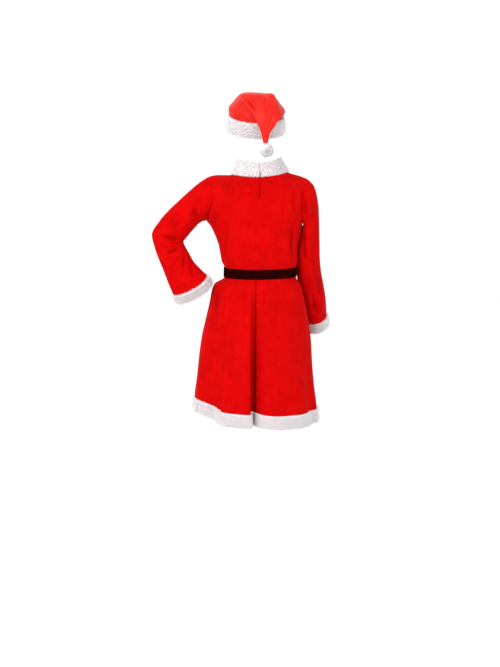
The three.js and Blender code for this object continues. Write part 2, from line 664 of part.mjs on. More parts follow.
add("dress_back", backPanel(), red);
add("dress_front", frontPanel(), red);
add("sleeve_left", sleeve(leftSleeve), red);
add("sleeve_right", sleeve(rightSleeve), red);
add("cuff_left", cuff(leftSleeve), white);
add("cuff_right", cuff(rightSleeve), white);
add("collar", collar(), white);
add("hem_band", hemBand(), white);
add("belt", beltBand(), black);
add("hat_crown", hatCrown(), hatRed);
add("hat_band", hatBandSolid(), white);
add("hat_pompom", pompomBall(), white).position.set(pompom.x, pompom.y, pompom.z);

export default group;
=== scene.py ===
import math

import bpy
import numpy as np
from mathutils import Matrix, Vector


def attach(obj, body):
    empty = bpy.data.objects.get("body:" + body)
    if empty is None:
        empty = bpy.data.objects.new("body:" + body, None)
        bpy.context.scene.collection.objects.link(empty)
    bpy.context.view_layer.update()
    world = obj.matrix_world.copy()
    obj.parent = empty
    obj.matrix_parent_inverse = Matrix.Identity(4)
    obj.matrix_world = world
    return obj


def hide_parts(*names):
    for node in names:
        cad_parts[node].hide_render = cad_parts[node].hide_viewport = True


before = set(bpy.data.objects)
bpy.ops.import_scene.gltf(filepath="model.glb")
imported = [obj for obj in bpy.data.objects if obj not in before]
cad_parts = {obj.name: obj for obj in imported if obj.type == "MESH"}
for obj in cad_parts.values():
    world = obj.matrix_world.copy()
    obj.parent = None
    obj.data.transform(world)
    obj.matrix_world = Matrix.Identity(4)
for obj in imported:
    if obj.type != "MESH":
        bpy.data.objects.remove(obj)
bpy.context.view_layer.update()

# A red velvet dress with plush trims, its belt and its hat, hollow as when worn.
# Tables and lengths are in millimetres, as in the part's source; meshes are in metres.

mm = 0.001
halfTurn = 180
cloth = {"thick": 1.6, "gap": 0.3}
levels = {"hem": -834, "beltTop": -329.5, "beltBottom": -363.5}
# The hem rises towards the left, and its left edge is lifted more.
hemTilt = {"slope": 0.067, "from": -70, "height": 23, "start": 106, "reach": 134}


def table(columns, rows):
    return dict(zip(columns.split(), np.array(rows, float).T))


sections = table("level left right back front centre", [
    (-890, 243, 214, 178, 171, 25),
    (-834, 239, 209, 171, 164, 25),
    (-742, 228, 197, 160, 154, 24),
    (-662, 220, 190, 150, 145, 23),
    (-583, 209, 185, 141, 138, 22),
    (-518, 195, 176, 132, 131, 21),
    (-454, 181, 163, 122, 123, 20),
    (-412, 173, 153, 113, 115, 19),
    (-388, 162, 144, 105, 109, 18),
    (-368, 129, 129, 90, 99, 17),
    (-326, 128, 129, 90, 99, 15),
    (-308, 137, 134, 98, 105, 14),
    (-266, 144, 134, 99, 111, 12),
    (-216, 154, 143, 101, 122, 10),
    (-188, 168, 149, 101, 126, 9),
    (-150, 198, 154, 100, 127, 8),
])
waistRise = {"all": 3, "side": 3, "from": -455, "to": -240}
shoulderRise = {"left": 6, "right": 3}
squareness = 2.3

skirtFolds = table("angle before after out start", [
    (40, 26, 12, -27, -520),
    (58, 9, 16, 8, -400),
    (138, 13, 14, 6, -450),
    (160, 12, 10, -12, -560),
    (205, 16, 14, -13, -430),
    (231, 14, 11, 9, -420),
    (250, 10, 13, -19, -400),
    (274, 12, 15, 10, -430),
    (299, 15, 10, -17, -410),
    (322, 11, 14, 9, -430),
    (345, 12, 12, -10, -500),
])

backFold = table("rest across inward", [
    (-130, -130, 0), (-85, -87, -3), (-60, -64, -1), (-45, -50, 4), (-32, -34, 16), (-20, -19, 34),
    (-10, -8, 50), (-1, 2, 58), (5, 9, 55), (9, 14, 44), (13, 13, 28), (17, 9, 12),
    (23, 11, 1), (32, 23, -6), (50, 45, -7), (75, 73, -3), (110, 110, 0),
])
backFoldStart = -372
backFoldSpread = 3
backFoldReach = 130

neckline = {"x": 0, "y": -5, "half": 100, "back": 60, "front": 80, "side": 10, "backDip": 12, "frontDip": 55}
collarTop = {"x": 4, "y": -8, "half": 73, "back": 54, "front": 58, "side": 64, "backDip": 15, "frontDip": 52}
collarTilt = -0.04
# The slit at the back of the neck: its right edge lies a little under its left one.
slit = {"foot": -82, "width": 1.0, "lap": 2.2, "under": 3.2, "spread": 9, "dip": 3, "roll": 4.5}

ringColumns = "place outX outZ inX inZ y front back lift hollow"
leftSleeve = table(ringColumns, [
    (0, 190, -5, 193, -157, 0, 50, 56, 0, 20),
    (28, 216, -22, 206, -160, 1, 54, 58, 0, 9),
    (60, 250, -50, 217, -166, 4, 54, 56, 0, 2),
    (105, 290, -86, 231, -180, 9, 52, 53, 0, 0),
    (150, 328, -122, 248, -199, 15, 51, 51, 0, 0),
    (195, 359, -158, 263, -217, 22, 49, 49, 0, 0),
    (240, 386, -207, 273, -232, 27, 47, 47, 0, 0),
    (275, 376, -252, 267, -247, 31, 45, 45, 2, 0),
    (310, 361, -293, 254, -270, 36, 44, 44, 6, 0),
    (345, 345, -332, 237, -301, 42, 43, 43, 11, 0),
    (380, 330, -370, 213, -328, 49, 42, 42, 16, 0),
    (420, 311, -412, 188, -352, 57, 41, 41, 20, 0),
])
rightSleeve = table(ringColumns, [
    (0, -172, -12, -153, -168, 0, 50, 56, 0, 14),
    (30, -192, -34, -155, -172, 0, 53, 57, 0, 7),
    (70, -204, -72, -154.5, -178, -4, 54, 56, 0, 2),
    (115, -211, -120, -147.5, -187, -14, 54, 55, 0, 0),
    (165, -213, -172, -145.5, -203, -14, 53, 54, 2, 0),
    (220, -215, -228, -137.5, -238, -19, 52, 52, 6, 0),
    (275, -217, -283, -132.5, -286, -29, 51, 51, 10, 0),
    (325, -222, -335, -132, -334, -40, 51, 51, 13, 0),
    (378, -232, -386, -139, -383, -57, 52, 52, 16, 0),
    (425, -241, -431, -149, -427, -74, 53, 53, 18, 0),
    (470, -247, -474, -155, -469, -94, 56, 56, 19, 0),
    (525, -250, -515, -161, -530, -118, 59, 59, 20, 0),
])

hatRings = table("place outY outZ inY inZ half centre square", [
    (0, -112, 243, 104, 181, 95, 15, 2),
    (25, -108, 264, 108, 201, 100, 12, 2),
    (60, -86, 281, 106, 216, 86, 12, 2.3),
    (100, -44, 288, 101, 230, 75, 12, 2.8),
    (145, 6, 290, 97, 240, 66, 12, 3.3),
    (190, 50, 289, 95, 247, 61, 11, 3.5),
    (225, 88, 281, 99, 250, 58, 8, 3),
    (255, 116, 259, 104, 247, 55, 3, 2.5),
    (285, 133, 233, 111, 230, 50, -10, 2.2),
    (318, 143, 203, 121, 202, 43, -21, 2),
    (345, 147, 178, 129, 177, 31, -21, 2),
    (373, 147, 150, 133, 150, 16, -17, 2),
    (408, 144, 115, 134, 115, 8, -17, 2),
])
hatTilt = 0.05


def cosine(angle):
    return np.cos(np.radians(angle))


def sine(angle):
    return np.sin(np.radians(angle))


def mix(start, end, share):
    return start + (end - start) * share


def ease(share):
    share = np.clip(share, 0, 1)
    return share * share * (3 - 2 * share)


def spot(x, y, z):
    return np.stack(np.broadcast_arrays(x, y, z), -1).astype(float)


def unit(vectors):
    return vectors / np.maximum(np.linalg.norm(vectors, axis=-1, keepdims=True), 1e-9)


def curveThrough(rows, key, value):  # a smooth curve through every column of a table
    knots = rows[key]
    value = np.asarray(value, float)
    i = np.clip(np.searchsorted(knots, value, side="right") - 1, 0, len(knots) - 2)
    span = knots[i + 1] - knots[i]
    share = np.clip((value - knots[i]) / span, 0, 1)
    result = {}
    for name, column in rows.items():
        steps = np.diff(column) / np.diff(knots)
        before, after = np.append(steps[:1], steps), np.append(steps, steps[-1:])
        sameWay = before * after > 0
        slopes = np.where(sameWay, 2 * before * after / np.where(sameWay, before + after, 1), 0)
        pulls = share * (1 - share) ** 2 * slopes[i] - share**2 * (1 - share) * slopes[i + 1]
        result[name] = mix(column[i], column[i + 1], ease(share)) + span * pulls
    return result


def rowOf(rows, i):
    return {name: column[i] for name, column in rows.items()}


def eachRow(rows):
    return [rowOf(rows, i) for i in range(len(next(iter(rows.values()))))]


def ringsAlong(rings, places):
    return {name: column[:, None] for name, column in curveThrough(rings, "place", places).items()}


def gapTo(grid, edge):
    return np.linalg.norm(grid - edge, axis=-1)


def allRound(count):
    return np.arange(count) * 360 / count


# Small gathers where the belt draws the velvet in: above it and below it they run out at
# different lengths. Angles go from the left side seam through the centre back.
gathers = table("angle before after above below out", [
    (9, 5, 7, 40, 95, 2.6),
    (24, 6, 5, 62, 120, -2.4),
    (33, 4, 5, 30, 70, 2.0),
    (51, 7, 6, 75, 60, 2.4),
    (66, 5, 8, 46, 44, -2.2),
    (79, 5, 5, 58, 30, 2.6),
    (98, 6, 5, 34, 52, -2.2),
    (112, 6, 8, 66, 74, 1.8),
    (131, 7, 6, 50, 110, -2.2),
    (149, 5, 6, 88, 66, 2.6),
    (165, 5, 5, 52, 90, -2.0),
    (178, 6, 5, 44, 74, 2.2),
    (193, 5, 6, 70, 60, 2.4),
    (208, 6, 5, 38, 96, -2.4),
    (226, 6, 7, 82, 58, 2.6),
    (243, 6, 5, 48, 80, -2.4),
    (262, 6, 7, 60, 46, 2.2),
    (281, 7, 5, 42, 66, -2.2),
    (297, 5, 6, 90, 88, 2.6),
    (315, 6, 6, 52, 62, -2.2),
    (333, 6, 5, 68, 100, 2.4),
    (349, 5, 6, 36, 76, -2.0),
])


def opening(start, level):
    share = np.clip((start - level) / (start - levels["hem"]), 0, 1.1)
    return share * (1.4 - 0.4 * share)


def foldShape(fold, angle):
    turn = (angle - fold["angle"] + halfTurn) % 360 - halfTurn
    reach = np.where(turn < 0, fold["before"], fold["after"])
    return np.where(np.abs(turn) < reach, (1 + cosine(halfTurn * turn / reach)) / 2, 0)


def gatherShape(gather, level):
    above = (level - levels["beltTop"]) / gather["above"]
    below = (levels["beltBottom"] - level) / gather["below"]
    away = np.maximum(above, below)
    return np.where(away > 0, ease(away * 6) * ease(1 - away), 0)


def bodyPoint(angle, level):
    angle, level = np.broadcast_arrays(np.asarray(angle, float), np.asarray(level, float))
    section = curveThrough(sections, "level", level)
    wide = opening(backFoldStart, level)
    rest = (90 - angle) * backFoldSpread
    folded = curveThrough(backFold, "rest", rest)
    near = np.abs(rest) < backFoldReach
    across = np.where(near, folded["across"], rest)
    inward = np.where(near, folded["inward"], 0)
    turned = 90 - mix(rest, across, wide) / backFoldSpread
    toLeft, toBack = cosine(turned), sine(turned)
    sideways = np.where(toLeft > 0, section["left"] - section["centre"], section["right"] + section["centre"])
    deep = np.where(toBack > 0, section["back"], section["front"])
    spread = np.abs(toLeft / sideways) ** squareness + np.abs(toBack / deep) ** squareness
    reach = spread ** (-1 / squareness) - inward * wide
    for fold in eachRow(skirtFolds):
        reach = reach + fold["out"] * foldShape(fold, angle) * opening(fold["start"], level)
    for gather in eachRow(gathers):
        reach = reach + gather["out"] * foldShape(gather, angle) * gatherShape(gather, level)
    x = section["centre"] + reach * toLeft
    lowered = np.clip((levels["beltBottom"] - level) / (levels["beltBottom"] - levels["hem"]), 0, 1)
    lift = np.maximum(x, hemTilt["from"]) * hemTilt["slope"]
    lift = lift + hemTilt["height"] * ease((x - hemTilt["start"]) / hemTilt["reach"])
    nearWaist = ease((level - waistRise["from"]) / (levels["beltBottom"] - waistRise["from"])) * (
        1 - ease((level - levels["beltTop"]) / (waistRise["to"] - levels["beltTop"]))
    )
    raised = (waistRise["all"] + waistRise["side"] * toLeft**2) * nearWaist
    return spot(x, reach * toBack, level + lift * lowered + raised)


def sleevePoint(ring, angle):  # 0 is a ring's outer point, 90 its front, 180 its inner point
    middleX, middleZ = (ring["outX"] + ring["inX"]) / 2, (ring["outZ"] + ring["inZ"]) / 2
    across = sine(angle)
    hollow = np.sign(ring["outX"]) * ring["hollow"] * across**2
    return spot(
        middleX + (ring["outX"] - middleX) * cosine(angle) - hollow,
        ring["y"] - np.where(across > 0, ring["front"], ring["back"]) * across,
        middleZ + (ring["outZ"] - middleZ) * cosine(angle) + ring["lift"] * across,
    )


def neckPoint(loop, angle):
    across = sine(angle)
    x = loop["x"] + loop["half"] * cosine(angle)
    dip = np.where(across > 0, loop["backDip"], loop["frontDip"])
    deep = np.where(across > 0, loop["back"], loop["front"])
    return spot(x, loop["y"] + deep * across, loop["side"] - dip * across**2 + collarTilt * x)


def firstRing(angle):  # the armhole ring of the side that each angle is on
    left = cosine(angle) > 0
    return {name: np.where(left, leftSleeve[name][0], rightSleeve[name][0]) for name in leftSleeve}


def underarm(angle):
    return mix(rightSleeve["inZ"][0], leftSleeve["inZ"][0], (1 + cosine(angle)) / 2)


def yokePoint(angle, height, isBack):  # height is 0 at the underarm, 1 at shoulder and neckline
    angle, height = np.broadcast_arrays(np.asarray(angle, float), np.asarray(height, float))
    middle = 90 if isBack else 270
    fromSide = 1 - np.abs(angle - middle) / 90
    ring = firstRing(angle)
    left = cosine(angle) > 0
    armhole = sleevePoint(ring, (-1 if isBack else 1) * halfTurn * (1 - height))
    foot = bodyPoint(angle, underarm(angle))
    footSide, topSide = sleevePoint(ring, 180.0), sleevePoint(ring, 0.0)
    footMiddle = bodyPoint(middle, underarm(middle)) + np.zeros_like(foot)
    neckSide = neckPoint(neckline, np.where(left, 0.0, 180.0))
    turn = (fromSide - 0.5) * halfTurn
    around = np.where(left, turn, halfTurn - turn)
    onNeck = neckPoint(neckline, around if isBack else 360 - around)
    toNeck = fromSide * 2
    arch = 6.75 * toNeck * (1 - toNeck) ** 2 * np.where(left, shoulderRise["left"], shoulderRise["right"])
    seam = mix(topSide, neckSide, toNeck[..., None]) + spot(0, 0, arch)
    top = np.where((fromSide < 0.5)[..., None], seam, onNeck)
    topMiddle = neckPoint(neckline, middle) + np.zeros_like(foot)
    rise = np.stack([height, height**1.8, height], -1)
    share = fromSide[..., None]
    centreLine = mix(footMiddle, topMiddle, rise)
    corners = mix(mix(footSide, topSide, rise), centreLine, share)
    return mix(armhole, centreLine, share) + mix(foot, top, rise) - corners


# Creases of the velvet, seen as on a flat picture of the back (side 1) or the front (side -1):
# a bowed line from one point through another to a third, how wide it is, and how far it
# stands out, with troughs below 0. All of them are made deeper, reach a few widths, have a
# low rim along both sides, and grow and fade towards their ends.
creaseShape = {"depth": 1.6, "points": 25, "reach": 3, "rim": 0.45, "growth": 3.2, "fading": 2.4}
creaseColumns = "side x1 z1 x2 z2 x3 z3 width out"
bodyCreases = table(creaseColumns, [
    (1, -19, -2, -32, -10, -52, -20, 6, -2.2),
    (1, -16, -8, -34, -24, -46, -44, 7, 1.8),
    (1, 16, -6, 30, -22, 34, -52, 8, -1.6),
    (1, -128, -38, -118, -96, -140, -158, 10, -3.4),
    (1, -146, -30, -136, -84, -150, -138, 8, 2.6),
    (1, -104, -60, -112, -130, -104, -205, 14, 2.2),
    (1, -108, -150, -114, -230, -106, -320, 9, -4.4),
    (1, -92, -200, -96, -262, -84, -322, 12, 2.8),
    (1, 150, -112, 160, -158, 164, -176, 10, -3.2),
    (1, 168, -96, 174, -140, 172, -170, 8, 2.6),
    (1, 128, -120, 142, -170, 140, -238, 14, 2.4),
    (1, 112, -170, 124, -230, 116, -296, 12, -2.6),
    (1, 92, -304, 58, -322, 20, -330, 9, 3.2),
    (1, 78, -282, 40, -300, 4, -306, 12, -2.0),
    (1, -30, -300, -60, -318, -92, -322, 10, 2.4),
    (1, 30, -224, -4, -262, -40, -300, 22, -2.4),
    (1, 60, -150, 20, -176, -30, -180, 26, -1.6),
    (1, 134, -404, 158, -450, 152, -540, 11, -3.4),
    (1, 112, -392, 134, -440, 130, -520, 10, 2.6),
    (1, 4, -384, -14, -404, -28, -440, 8, -1.8),
    (1, 18, -380, 19, -560, 20, -800, 4, -1.6),
    (1, 66, -430, 74, -560, 62, -700, 18, 2.2),
    (1, 96, -500, 104, -620, 112, -790, 16, -2.2),
    (1, -96, -450, -104, -580, -100, -720, 20, 2.0),
    (1, -62, -420, -58, -560, -70, -760, 18, -1.8),
    (1, -128, -520, -140, -640, -136, -780, 14, 2.2),
    (1, 168, -560, 182, -660, 186, -780, 12, 2.4),
    (-1, 150, -60, 128, -110, 150, -160, 12, -3.4),
    (-1, -134, -64, -116, -116, -138, -166, 12, -3.2),
    (-1, 96, -84, 84, -132, 104, -186, 16, 2.4),
    (-1, -88, -90, -78, -140, -96, -196, 16, 2.2),
    (-1, 60, -60, 0, -96, -58, -58, 18, -2.2),
    (-1, 112, -190, 116, -250, 92, -318, 14, -3.0),
    (-1, -104, -196, -106, -256, -82, -320, 13, -2.8),
    (-1, 44, -206, 52, -270, 34, -324, 12, 2.4),
    (-1, -36, -214, -46, -276, -28, -322, 12, 2.2),
    (-1, 98, -300, 52, -322, 10, -326, 9, 2.8),
    (-1, -20, -316, -62, -322, -96, -306, 9, 2.6),
    (-1, 128, -400, 150, -460, 146, -560, 12, -3.0),
    (-1, -120, -400, -138, -456, -132, -550, 12, -2.8),
    (-1, 78, -440, 88, -580, 82, -740, 18, 2.2),
    (-1, -70, -450, -80, -600, -72, -760, 18, -2.2),
    (-1, 10, -470, 16, -600, 4, -760, 20, 1.8),
])
leftSleeveCreases = table(creaseColumns, [
    (1, 214, -66, 246, -106, 250, -160, 14, 2.6),
    (1, 226, -100, 226, -134, 210, -160, 9, -3.4),
    (1, 246, -112, 248, -146, 232, -172, 8, 2.6),
    (1, 312, -132, 300, -160, 268, -190, 11, -2.6),
    (1, 330, -150, 318, -182, 286, -214, 10, 2.8),
    (1, 282, -226, 318, -214, 362, -196, 9, -4.2),
    (1, 284, -236, 318, -238, 374, -226, 9, 3.4),
    (1, 278, -244, 312, -262, 352, -268, 8, -3.8),
    (1, 272, -262, 300, -286, 318, -320, 8, 2.6),
    (1, 258, -276, 270, -300, 266, -326, 6, -3.2),
    (1, 246, -298, 256, -318, 248, -340, 6, 2.6),
    (1, 232, -318, 240, -338, 228, -356, 6, -3.0),
    (1, 330, -262, 322, -318, 296, -362, 12, 2.2),
    (1, 232, -400, 210, -384, 196, -350, 5, -4.0),
    (1, 240, -392, 216, -372, 204, -340, 5, 2.6),
    (1, 348, -278, 338, -330, 322, -374, 9, -2.2),
    (-1, 222, -84, 238, -122, 220, -158, 12, -3.0),
    (-1, 290, -110, 286, -150, 262, -190, 12, 2.6),
    (-1, 284, -222, 318, -206, 360, -186, 9, -3.6),
    (-1, 282, -238, 322, -238, 372, -222, 9, 3.0),
    (-1, 276, -248, 306, -268, 346, -276, 8, -3.4),
    (-1, 262, -278, 286, -298, 300, -330, 8, 2.6),
    (-1, 246, -308, 262, -330, 264, -360, 7, -2.8),
    (-1, 330, -286, 318, -336, 290, -372, 10, 2.2),
])
rightSleeveCreases = table(creaseColumns, [
    (1, -184, -52, -172, -96, -176, -150, 10, 2.6),
    (1, -166, -70, -160, -118, -168, -176, 9, -3.6),
    (1, -196, -96, -188, -140, -194, -190, 12, -1.8),
    (1, -174, -170, -168, -236, -176, -300, 12, 2.6),
    (1, -158, -190, -156, -250, -164, -330, 10, -3.6),
    (1, -196, -210, -190, -290, -202, -370, 14, -2.2),
    (1, -178, -300, -184, -360, -176, -430, 12, 2.4),
    (1, -212, -340, -216, -400, -226, -470, 12, -2.4),
    (1, -182, -420, -196, -462, -192, -512, 10, -3.0),
    (1, -222, -430, -224, -470, -216, -512, 9, 2.6),
    (1, -206, -446, -206, -480, -206, -514, 8, -2.2),
    (-1, -172, -66, -160, -112, -170, -168, 10, -3.2),
    (-1, -196, -100, -184, -150, -190, -206, 12, 2.4),
    (-1, -160, -210, -170, -244, -204, -262, 9, -3.2),
    (-1, -158, -238, -176, -272, -208, -286, 9, 2.8),
    (-1, -162, -276, -180, -306, -210, -316, 8, -2.6),
    (-1, -190, -320, -184, -392, -196, -456, 13, 2.4),
    (-1, -178, -420, -186, -466, -180, -510, 9, -2.6),
    (-1, -220, -410, -216, -460, -224, -508, 10, 2.2),
])
hatCreases = table(creaseColumns, [
    (1, 60, 272, 34, 246, 10, 202, 4.6, -5.0),
    (1, 72, 262, 48, 240, 26, 204, 6, 3.6),
    (1, 36, 284, 24, 256, 22, 226, 4.6, -3.6),
    (1, -6, 290, -34, 268, -60, 232, 7, -4.2),
    (1, -18, 292, -46, 274, -66, 246, 6, 3.2),
    (1, 72, 252, 60, 232, 62, 212, 7, 2.6),
    (1, 12, 262, -8, 226, -10, 180, 9, 2.8),
    (1, -44, 216, -36, 186, -26, 156, 6, -3.0),
    (1, -8, 190, -8, 164, -16, 140, 5, 2.2),
    (-1, 60, 300, 34, 286, 30, 262, 9, -3.4),
    (-1, -34, 298, -12, 288, -6, 264, 9, -3.2),
    (-1, 10, 300, 14, 284, 6, 266, 10, 2.8),
])


def creaseLift(points, normals, creases):
    lift = np.zeros(points.shape[:-1])
    flat = points[..., [0, 2]]
    steps = np.linspace(0, 1, creaseShape["points"])[:, None]
    for crease in eachRow(creases):
        start, bend, end = [np.array([crease[f"x{i}"], crease[f"z{i}"]]) for i in (1, 2, 3)]
        bow = 2 * bend - (start + end) / 2
        line = (1 - steps) ** 2 * start + 2 * steps * (1 - steps) * bow + steps**2 * end
        reach = creaseShape["reach"] * crease["width"]
        low, high = line.min(0) - reach, line.max(0) + reach
        near = ((flat > low) & (flat < high)).all(-1)
        near &= normals[..., 1] * crease["side"] > -0.2
        if not near.any():
            continue
        away = flat[near][:, None] - line[None, :-1]
        along = np.diff(line, axis=0)[None]
        share = np.clip((away * along).sum(-1) / (along**2).sum(-1), 0, 1)
        gaps = np.linalg.norm(away - along * share[..., None], axis=-1)
        nearest, gap = gaps.argmin(1), gaps.min(1)
        at = (nearest + share[np.arange(len(gap)), nearest]) / (len(line) - 1)
        q = (gap / crease["width"]) ** 2
        facing = ease((normals[near][:, 1] * crease["side"] + 0.1) / 0.45)
        taper = ease(np.minimum(at * creaseShape["growth"], (1 - at) * creaseShape["fading"]))
        bulge = np.exp(-q) * (1 - creaseShape["rim"] * q)
        lift[near] += creaseShape["depth"] * crease["out"] * bulge * taper * facing
    return lift


def outward(grid, closed):
    rows = np.gradient(grid, axis=0)
    if closed:
        around = np.roll(grid, -1, 1) - np.roll(grid, 1, 1)
    else:
        around = np.gradient(grid, axis=1)
    result = unit(np.cross(around, rows))
    if closed and ((grid - grid.mean(1, keepdims=True)) * result).sum() < 0:
        result = -result
    return result


upwards = np.array([0, 0, 1.0])


def dropAcross(normals, rows, columns, direction):  # keeps two walls side by side at a seam
    part = normals[rows, columns]
    part = part - (part @ direction)[..., None] * direction
    normals[rows, columns] = unit(part)


def makeMesh(name, points, faces, uvs=None):
    mesh = bpy.data.meshes.new(name)
    mesh.from_pydata([tuple(p) for p in (np.asarray(points) * mm).tolist()], [], faces)
    mesh.update()
    if uvs is not None:
        layer = mesh.uv_layers.new(name="cut")
        corners = np.zeros(len(mesh.loops), int)
        mesh.loops.foreach_get("vertex_index", corners)
        layer.data.foreach_set("uv", (np.asarray(uvs)[corners] * mm).ravel())
    mesh.shade_smooth()
    mesh.set_sharp_from_angle(angle=math.radians(55))
    thing = bpy.data.objects.new(name, mesh)
    bpy.context.scene.collection.objects.link(thing)
    return thing


def cutPlaces(grid):  # where each point lies on the flat cut, along and across
    down = np.linalg.norm(np.diff(grid, axis=0), axis=-1).mean(1)
    across = np.linalg.norm(np.diff(grid, axis=1), axis=-1).mean(0)
    v = np.append(0, np.cumsum(down))
    u = np.append(0, np.cumsum(across))
    return np.stack(np.meshgrid(u - u.mean(), v), -1)


def clothWall(name, grid, closed, normals, isOpen=None, cap=None):
    inner = grid - normals * cloth["thick"]
    if cap is not None:
        inner[-1] -= cap * cloth["thick"]
    rows, count = grid.shape[:2]
    cells = count if closed else count - 1
    points = list(np.concatenate([grid.reshape(-1, 3), inner.reshape(-1, 3)]))
    uvs = list(np.concatenate([cutPlaces(grid).reshape(-1, 2)] * 2))

    def at(i, j, side=0):
        return side * rows * count + i * count + (j % count if closed else j)

    def whole(i, j):
        if i < 0 or i > rows - 2 or (not closed and (j < 0 or j > cells - 1)):
            return False
        return isOpen is None or not isOpen(i, j % count)

    faces = []
    for i in range(rows - 1):
        for j in range(cells):
            if not whole(i, j):
                continue
            a, b, c, d = at(i, j), at(i, j + 1), at(i + 1, j + 1), at(i + 1, j)
            e, f, g, h = [corner + rows * count for corner in (a, b, c, d)]  # the same on the inner wall
            faces += [(a, b, c, d), (h, g, f, e)]
            if not whole(i - 1, j):
                faces.append((e, f, b, a))
            if not whole(i + 1, j) and cap is None:
                faces.append((d, c, g, h))
            if not whole(i, j - 1):
                faces.append((d, h, e, a))
            if not whole(i, j + 1):
                faces.append((b, f, g, c))
    if cap is not None:
        for side, ring in enumerate((grid[-1], inner[-1])):
            points.append(ring.mean(0))
            uvs.append(uvs[at(rows - 1, 0, side)])
            for j in range(count):
                a, b = at(rows - 1, j, side), at(rows - 1, j + 1, side)
                faces.append((len(points) - 1, b, a) if side else (len(points) - 1, a, b))
    return pointOut(makeMesh(name, points, faces, uvs))


def pointOut(thing):  # a closed mesh whose volume comes out negative is turned
    mesh = thing.data
    corners = np.zeros(len(mesh.loops), int)
    mesh.loops.foreach_get("vertex_index", corners)
    places = np.zeros(len(mesh.vertices) * 3)
    mesh.vertices.foreach_get("co", places)
    mesh.calc_loop_triangles()
    triangles = np.zeros(len(mesh.loop_triangles) * 3, int)
    mesh.loop_triangles.foreach_get("vertices", triangles)
    a, b, c = places.reshape(-1, 3)[triangles].reshape(-1, 3, 3).transpose(1, 0, 2)
    if (a * np.cross(b, c)).sum() < 0:
        mesh.flip_normals()
    return thing


def mark(thing, name, values):  # a number for each point, which the looks and the plush read
    thing.data.attributes.new(name, "FLOAT", "POINT").data.foreach_set("value", values)


def finishPiece(thing, slot, *nodes):
    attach(thing, "root")
    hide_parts(*nodes)


# Materials. A look's nodes are added one by one, and sums on its signals add Math nodes.
class Signal:
    def __init__(self, look, socket):
        self.look, self.socket = look, socket

    def math(self, operation, other):
        return self.look.add("Math", {"operation": operation}, {0: self, 1: other})

    def __add__(self, other):
        return self.math("ADD", other)

    def __mul__(self, other):
        return self.math("MULTIPLY", other)

    __radd__ = __add__
    __rmul__ = __mul__

    def between(self, low, high):  # 0 below low, 1 above high, smooth from one to the other
        settings = {"interpolation_type": "SMOOTHSTEP"}
        return self.look.add("MapRange", settings, {"Value": self, "From Min": low, "From Max": high})


class Look:
    def __init__(self, name, **settings):
        self.material = bpy.data.materials.new(name)
        self.material.use_nodes = True
        self.tree = self.material.node_tree
        self.shader = self.tree.nodes["Principled BSDF"]
        for key, value in settings.items():
            self.shader.inputs[key.replace("_", " ")].default_value = value

    def join(self, socket, value):
        if isinstance(value, Signal):
            self.tree.links.new(value.socket, socket)
        else:
            socket.default_value = value

    def add(self, kind, settings=(), inputs=(), output=0):
        node = self.tree.nodes.new("ShaderNode" + kind)
        for key, value in dict(settings).items():
            setattr(node, key, value)
        for key, value in dict(inputs).items():
            self.join(node.inputs[key], value)
        return Signal(self, node.outputs[output])

    def noise(self, vector, scale, detail=2.0, rough=0.5):
        inputs = {"Vector": vector, "Scale": scale, "Detail": detail, "Roughness": rough}
        return self.add("TexNoise", (), inputs)

    def stretched(self, vector, x, y, z=1.0):
        return self.add("VectorMath", {"operation": "MULTIPLY"}, {0: vector, 1: (x, y, z)})

    def blend(self, share, first, second, kind="MIX"):
        settings = {"data_type": "RGBA", "blend_type": kind}
        return self.add("Mix", settings, {0: share, 6: first, 7: second}, 2)

    def onto(self, name, value):
        self.join(self.shader.inputs[name], value)

    def bump(self, height, strength, distance):
        inputs = {"Height": height, "Strength": strength, "Distance": distance}
        self.onto("Normal", self.add("Bump", (), inputs))


# The trough colour is a painted shade for the velvet's crease troughs and its centre back fold.
velvetLook = {
    "red": (0.46, 0.0008, 0.0010, 1), "deep": (0.35, 0.0005, 0.0006, 1), "lit": (0.57, 0.002, 0.002, 1),
    "troughShade": (0.19, 0.0003, 0.0004, 1), "sheenTint": (1.0, 0.04, 0.03, 1), "pile": 1300, "patch": 12,
}


def velvetMaterial():
    look = Look(
        "velvet", Roughness=0.8, Sheen_Weight=0.12, Sheen_Roughness=0.4, Specular_IOR_Level=0.02,
        Sheen_Tint=velvetLook["sheenTint"],
    )
    cut = look.add("UVMap", {"uv_map": "cut"})
    place = look.add("TexCoord", (), (), "Object")
    patch = look.noise(place, velvetLook["patch"], 3.0, 0.55)
    streak = look.noise(look.stretched(cut, 95, 17), 1.0, 3.0, 0.6)
    brushed = look.noise(look.stretched(cut, 46, 30), 1.0, 2.0, 0.5)
    pile = look.noise(place, velvetLook["pile"], 2.0, 0.7)
    nap = patch * 0.5 + streak * 0.15 + brushed * 0.35
    colour = look.blend(nap.between(0.36, 0.66), velvetLook["deep"], velvetLook["lit"])
    colour = look.blend(0.62, colour, velvetLook["red"])
    # Painted shade: where the tone mark is negative, in crease troughs and along the centre back fold, the
    # colour is darkened towards the dark trough colour.
    tone = look.add("Attribute", {"attribute_name": "tone"}, (), "Fac")
    colour = look.blend(tone.between(-13, -0.5), velvetLook["troughShade"], colour)
    grain = look.blend(pile.between(0.3, 0.72), (0.80, 0.76, 0.76, 1), (1.12, 1.12, 1.12, 1))
    look.onto("Base Color", look.blend(1.0, colour, grain, "MULTIPLY"))
    look.onto("Roughness", 0.7 + nap * 0.16)
    look.bump(pile * 0.7 + streak * 0.3 + nap * 0.8, 0.35, 0.0009)
    return look.material


hatLook = {"red": (0.60, 0.012, 0.005, 1), "deep": (0.47, 0.006, 0.003, 1), "sheenTint": (1.0, 0.2, 0.12, 1)}


